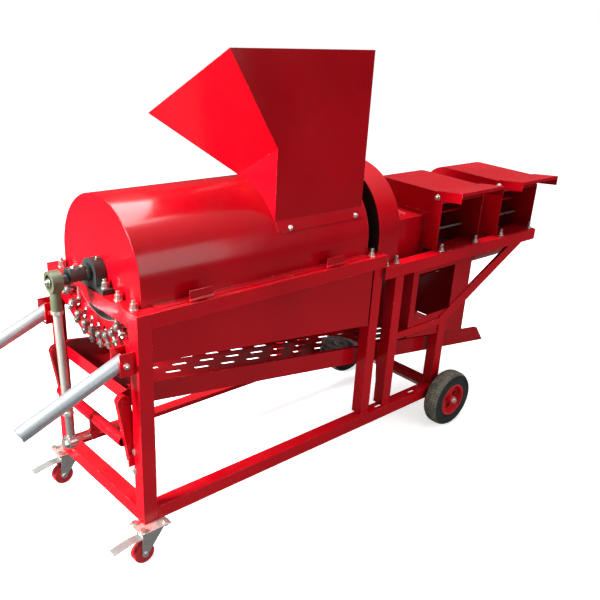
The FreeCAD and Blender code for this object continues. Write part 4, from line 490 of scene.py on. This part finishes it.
bolt = begin(bpy.ops.mesh.primitive_cylinder_add, "sheet_bolt", vertices=28, radius=0.0098, depth=0.0016,
             location=(0.0, 0.0, 0.0008))
bpy.ops.object.mode_set(mode="EDIT")
bpy.ops.mesh.primitive_cylinder_add(vertices=6, radius=0.0076, depth=0.0055,
                                    location=(0.0, 0.0, 0.00435))
bpy.ops.mesh.primitive_cylinder_add(vertices=20, radius=0.0042, depth=0.0040,
                                    location=(0.0, 0.0, 0.0090))
thread_foot, washer_top, hair = 0.0070, 0.0016, 0.0001
pick(bolt, "EDGE", lambda first, last: min(first.z, last.z) > thread_foot)
bpy.ops.mesh.bevel(offset=0.0007, segments=2)
pick(bolt, "EDGE", lambda first, last: max(abs(first.z - washer_top), abs(last.z - washer_top)) < hair
     and first.xy.length > 0.009)
bpy.ops.mesh.bevel(offset=0.0004, segments=2)
smooth(30)
handle_x, handle_height, flange_height = -0.9363, 0.737, 1.047
pivot_y, pivot_height, pivot_size = -0.234, 1.062, Matrix.Scale(1.35, 4)
pin_height, pin_size = 0.934, Matrix.Scale(1.3, 4)
handles = [landing("side_frame_" + side, (handle_x, way * 0.5, handle_height), (0.0, -way, 0.0))
           for side, way in (("near", -1.0), ("far", 1.0))]
clear_of_side, inwards = -0.6, (0.0, 1.0, 0.0)
flange = [landing("feed_hopper", (x, clear_of_side, flange_height), inwards) for x in (-0.2553, 0.0657)]
pivots = [placed((x, pivot_y, pivot_height), (way, 0.0, 0.0)) @ pivot_size
          for x, way in ((0.5354, -1.0), (0.8300, 1.0), (0.9754, -1.0))]
crank_pin = placed(*landing("crank_hub", (-1.2, 0.0, pin_height), (1.0, 0.0, 0.0))) @ pin_size
scatter(bolt, "sheet_bolts", [placed(*spot) for spot in handles], "frame", zinc)
scatter(bolt, "flange_bolts", [placed(*spot) for spot in flange], "hood", zinc)
scatter(bolt, "flap_pivots", pivots, "frame", zinc)
scatter(bolt, "pin_bolt", [crank_pin], "rotor", zinc)
bpy.data.objects.remove(bolt)


# Second nuts. The studs along the front bridge and on the bearings' feet are each
# locked with a second nut over the one in the solids.
nut = begin(bpy.ops.mesh.primitive_cylinder_add, "lock_nut", vertices=6, radius=0.0105,
            depth=0.0080, location=(0.0, 0.0, 0.0040))
pick(nut, "EDGE", lambda first, last: abs(first.z - last.z) < slack)
bpy.ops.mesh.bevel(offset=0.0009, segments=2)
smooth(30)
bridge_x, bridge_nut_top = -0.8773, 0.9018
front_bearing_x, rear_bearing_x = -0.8783, 0.1657
foot_nut_top, foot_reach = 0.9178, 0.0635
studs = [(bridge_x, y, bridge_nut_top) for y in (-0.230, -0.140, 0.140, 0.230)]
studs += [(x, y, foot_nut_top) for x in (front_bearing_x, rear_bearing_x)
          for y in (-foot_reach, foot_reach)]
scatter(nut, "lock_nuts", [placed(spot, (0, 0, 1)) for spot in studs], "frame", zinc)
bpy.data.objects.remove(nut)


# Husker sheet hangers. Two thin bolts come down from the front bridge to the sheet,
# each with a small nut at its lower end.
hanger = begin(bpy.ops.mesh.primitive_cylinder_add, "hanger", vertices=16, radius=0.0035, depth=0.050,
               location=(0.0, 0.0, 0.025))
bpy.ops.object.mode_set(mode="EDIT")
bpy.ops.mesh.primitive_cylinder_add(vertices=6, radius=0.0072, depth=0.0060, location=(0.0, 0.0, 0.0045))
smooth(30)
hanger_x, hanger_foot = -0.8903, 0.819
hangers = [placed((hanger_x, y, hanger_foot), (0, 0, 1)) for y in (-0.146, 0.094)]
scatter(hanger, "sheet_hangers", hangers, "frame", zinc)
bpy.data.objects.remove(hanger)


# Grease nipple and crank hub. A nipple sits on the front bearing, two square-headed
# screws lock the hub to the shaft, and a dark collar ends the hub at the bearing.
shaft_height = 0.944
nipple = begin(bpy.ops.mesh.primitive_cone_add, "nipple", vertices=20, radius1=0.0042, radius2=0.0022,
               depth=0.008, location=(0.0, 0.0, 0.003))
bpy.ops.object.mode_set(mode="EDIT")
bpy.ops.mesh.primitive_uv_sphere_add(segments=16, ring_count=8, radius=0.0030,
                                     location=(0.0, 0.0, 0.0085))
smooth(50)
bearing_crown = placed(*landing("front_bearing", (front_bearing_x, -0.016, 1.2), (0, 0, -1)))
scatter(nipple, "grease_nipple", [bearing_crown], "frame", bright_steel)
bpy.data.objects.remove(nipple)
screw = begin(bpy.ops.mesh.primitive_cylinder_add, "hub_screw", vertices=4, radius=0.0070, depth=0.0080,
              location=(0.0, 0.0, 0.0040))
pick(screw, "EDGE", lambda first, last: min(first.z, last.z) > 0.007)
bpy.ops.mesh.bevel(offset=0.0012, segments=2)
bpy.ops.object.mode_set(mode="OBJECT")
screw_start, screw_lean = (-0.10, 1.15), (0.0, 0.4364, -0.8997)
screws = [landing("crank_hub", (x, *screw_start), screw_lean) for x in (-0.9583, -0.9283)]
scatter(screw, "hub_screws", [placed(*spot) for spot in screws], "rotor", bright_steel)
bpy.data.objects.remove(screw)
collar = begin(bpy.ops.mesh.primitive_cylinder_add, "hub_collar", vertices=36, radius=0.0295,
               depth=0.0100, location=(-0.9093, 0.0, shaft_height), rotation=(0.0, math.pi / 2, 0.0))
pick(collar, "EDGE", lambda first, last: abs(first.x - last.x) < slack)
bpy.ops.mesh.bevel(offset=0.0012, segments=2)
smooth(30)
scatter(collar, "hub_end_collar", [Matrix.Identity(4)], "rotor", dark_casting)
bpy.data.objects.remove(collar)


# Fan mouths. The rod that ties each mouth's two sides together is bright zinc where
# the husks keep it clean, and small rivets close the drive cover against the fan.
mouth_width, mouth_y, mouth_height = 0.283, -0.165, 0.895
tie = begin(bpy.ops.mesh.primitive_cylinder_add, "mouth_rod", vertices=20, radius=0.0053,
            depth=mouth_width, location=(0.0, 0.0, mouth_width / 2))
smooth(30)
ties = [placed((x, mouth_y, mouth_height), (1, 0, 0), share)
        for x, share in ((0.5412, 1.0), (0.9812, 0.982))]
scatter(tie, "mouth_rods", ties, "frame", zinc)
bpy.data.objects.remove(tie)
rivet = begin(bpy.ops.mesh.primitive_uv_sphere_add, "rivet", segments=20, ring_count=10, radius=0.0048)
pick(rivet, "VERT", lambda point: point.z < -0.0005)
bpy.ops.mesh.delete(type="VERT")
pick(rivet, "VERT", lambda point: True)
bpy.ops.transform.resize(value=(1.0, 1.0, 0.55))
smooth(50)
rivets = [landing("fan_drive_cover", (x, clear_of_side, z), inwards)
          for x in (0.318, 0.5257) for z in (0.868, 0.945)]
scatter(rivet, "cover_rivets", [placed(*spot) for spot in rivets], "frame", sheet_red)
bpy.data.objects.remove(rivet)


# Hood rim. The end plates are welded into the rolled shell, and the ground-down
# seam stands a little proud all round the arch.
seam_drop, hood_length = 0.0525, 0.9843
rim = begin(bpy.ops.mesh.primitive_torus_add, "hood_rim", major_segments=120, minor_segments=10,
            major_radius=0.2386, minor_radius=0.0019, location=(-0.8572, 0.0, shaft_height),
            rotation=(0.0, math.pi / 2, 0.0))
pick(rim, "VERT", lambda point: point.z < shaft_height - 0.0005)
bpy.ops.mesh.delete(type="VERT")
pick(rim, "VERT", lambda point: point.z < shaft_height + 0.0005)
bpy.ops.mesh.extrude_region_move(TRANSFORM_OT_translate={"value": (0.0, 0.0, -seam_drop)})
bpy.ops.object.mode_set(mode="OBJECT")
bpy.ops.object.shade_smooth()
rims = [Matrix.Identity(4), Matrix.Translation((hood_length, 0.0, 0.0))]
scatter(rim, "hood_rims", rims, "hood", sheet_red)
bpy.data.objects.remove(rim)


# Weld beads. Every joint of the welded frame carries a short bead with the ripples
# of the torch in it, sprayed over with the same red.
weld_length, ripple_step = 0.048, 0.002
weld_middle = (0.0, 0.0, weld_length / 2)


def between_ends(point):
    """Whether a point lies on the bead's run and not on one of its ends."""
    return ripple_step / 2 < point.z < weld_length - ripple_step / 2


weld = begin(bpy.ops.mesh.primitive_cylinder_add, "weld_bead", vertices=10, radius=0.0030,
             depth=weld_length, location=weld_middle)
pick(weld, "EDGE", lambda first, last: abs(first.z - last.z) > 0.02)
bpy.ops.mesh.subdivide(number_cuts=round(weld_length / ripple_step) - 1)
pick(weld, "VERT", lambda point: round(point.z / ripple_step) % 2 == 0 and between_ends(point))
bpy.ops.transform.resize(value=(1.28, 1.28, 1.0), center_override=weld_middle)
pick(weld, "VERT", lambda point: not between_ends(point))
bpy.ops.transform.resize(value=(0.45, 0.45, 1.0), center_override=weld_middle)
bpy.ops.mesh.select_all(action="SELECT")
bpy.ops.transform.vertex_random(offset=0.0004, seed=4)
smooth(50)
post_side, rail_side, rail_inside = 0.2755, 0.2885, 0.2405
lower_rail_top, post_foot, upper_rail_foot, fan_rail_foot = 0.1905, 0.141, 0.841, 0.7865
along, up = (1, 0, 0), (0, 0, 1)
seams = []
for way in (-1.0, 1.0):
    for x in (0.1437, 0.2787, 0.6137):
        seams.append(placed((x, way * post_side, lower_rail_top), along))
    for foot in (post_foot, upper_rail_foot):
        seams.append(placed((-0.8521, way * rail_side, foot), up))
    seams.append(placed((-0.9013, way * rail_inside, lower_rail_top), along))
    seams.append(placed((0.1925, way * rail_side, upper_rail_foot), up))
    seams.append(placed((0.2762, way * post_side, fan_rail_foot), along))
scatter(weld, "weld_beads", seams, "frame", bar_red_with_painted_light)
bpy.data.objects.remove(weld)


# The studio: a pale floor under a soft sky that darkens towards the horizon, a
# broad light from the crank end, a soft one overhead and a weak one from the near
# side. The floor and the sky look white to the camera and dimmer to the paint.
bpy.ops.object.select_all(action="DESELECT")
bpy.ops.mesh.primitive_plane_add(size=40.0)
floor = bpy.context.object
floor.name = "studio_floor"
white = (1.0, 1.0, 1.0, 1.0)
paper, paper_tree, paper_shader = finish_material("pale studio floor", Roughness=0.9,
                                                  Specular_IOR_Level=0.2, Emission_Color=white)
paper_colour = blend_of(paper_tree, clouds(paper_tree, 0.6, 2.0), opaque((0.86, 0.86, 0.86)),
                        opaque((0.84, 0.84, 0.85)))
rays = put(paper_tree, "ShaderNodeLightPath").outputs
unseen = blend_of(paper_tree, rays["Is Glossy Ray"], opaque((0.24, 0.23, 0.23)),
                  opaque((0.07, 0.065, 0.065)))
paper_tree.links.new(blend_of(paper_tree, rays["Is Camera Ray"], unseen, paper_colour),
                     paper_shader.inputs["Base Color"])
paper_tree.links.new(maths(paper_tree, "MULTIPLY", rays["Is Camera Ray"], 0.66),
                     paper_shader.inputs["Emission Strength"])
floor.data.materials.append(paper)

sky = bpy.data.worlds.new("soft studio")
sky.use_nodes = True
sky_tree = sky.node_tree
sky_place = put(sky_tree, "ShaderNodeTexCoord").outputs["Generated"]
height = put(sky_tree, "ShaderNodeSeparateXYZ", i0=sky_place).outputs[2]
glow = ramp(sky_tree, height, 0.40, 0.95, 0.09, 0.80)
seen = put(sky_tree, "ShaderNodeLightPath").outputs["Is Camera Ray"]
strength = put(sky_tree, "ShaderNodeMix", {"data_type": "FLOAT"}, i0=seen, i2=glow, i3=1.0).outputs[0]
sky_tree.nodes["Background"].inputs["Color"].default_value = white
sky_tree.links.new(strength, sky_tree.nodes["Background"].inputs["Strength"])
machine.world = sky


def softbox(name, place, aim, size, power):
    """A square area light that faces a point."""
    light = bpy.data.lights.new(name, "AREA")
    light.size = size
    light.energy = power
    lamp = bpy.data.objects.new(name, light)
    lamp.matrix_world = (Vector(aim) - Vector(place)).to_track_quat("-Z", "Y").to_matrix().to_4x4()
    lamp.location = place
    machine.collection.objects.link(lamp)


softbox("crank end softbox", (-5.5, 0.6, 3.0), (-0.3, 0.0, 0.8), 1.6, 1050.0)
softbox("overhead softbox", (0.9, 0.5, 4.6), (0.3, 0.0, 0.8), 2.6, 230.0)
softbox("near side softbox", (1.3, -4.6, 2.2), (0.1, 0.0, 0.6), 2.4, 60.0)


# The camera stands as in the photograph: off the crank end on the near side, a
# little above the hopper, and looks slightly down.
lens = bpy.data.cameras.new("photo lens")
lens.sensor_width = 36.0
lens.lens = 45.03
lens.shift_x = -0.0453
lens.shift_y = 0.0691
lens.clip_start = 0.05
camera = bpy.data.objects.new("photo camera", lens)
camera.matrix_world = Matrix(((0.7200, 0.2414, -0.6506, -1.9417), (-0.6905, 0.3443, -0.6363, -2.0866),
                              (0.0705, 0.9074, 0.4145, 1.7720), (0.0, 0.0, 0.0, 1.0)))
machine.collection.objects.link(camera)
machine.camera = camera
machine.view_settings.view_transform = "Standard"
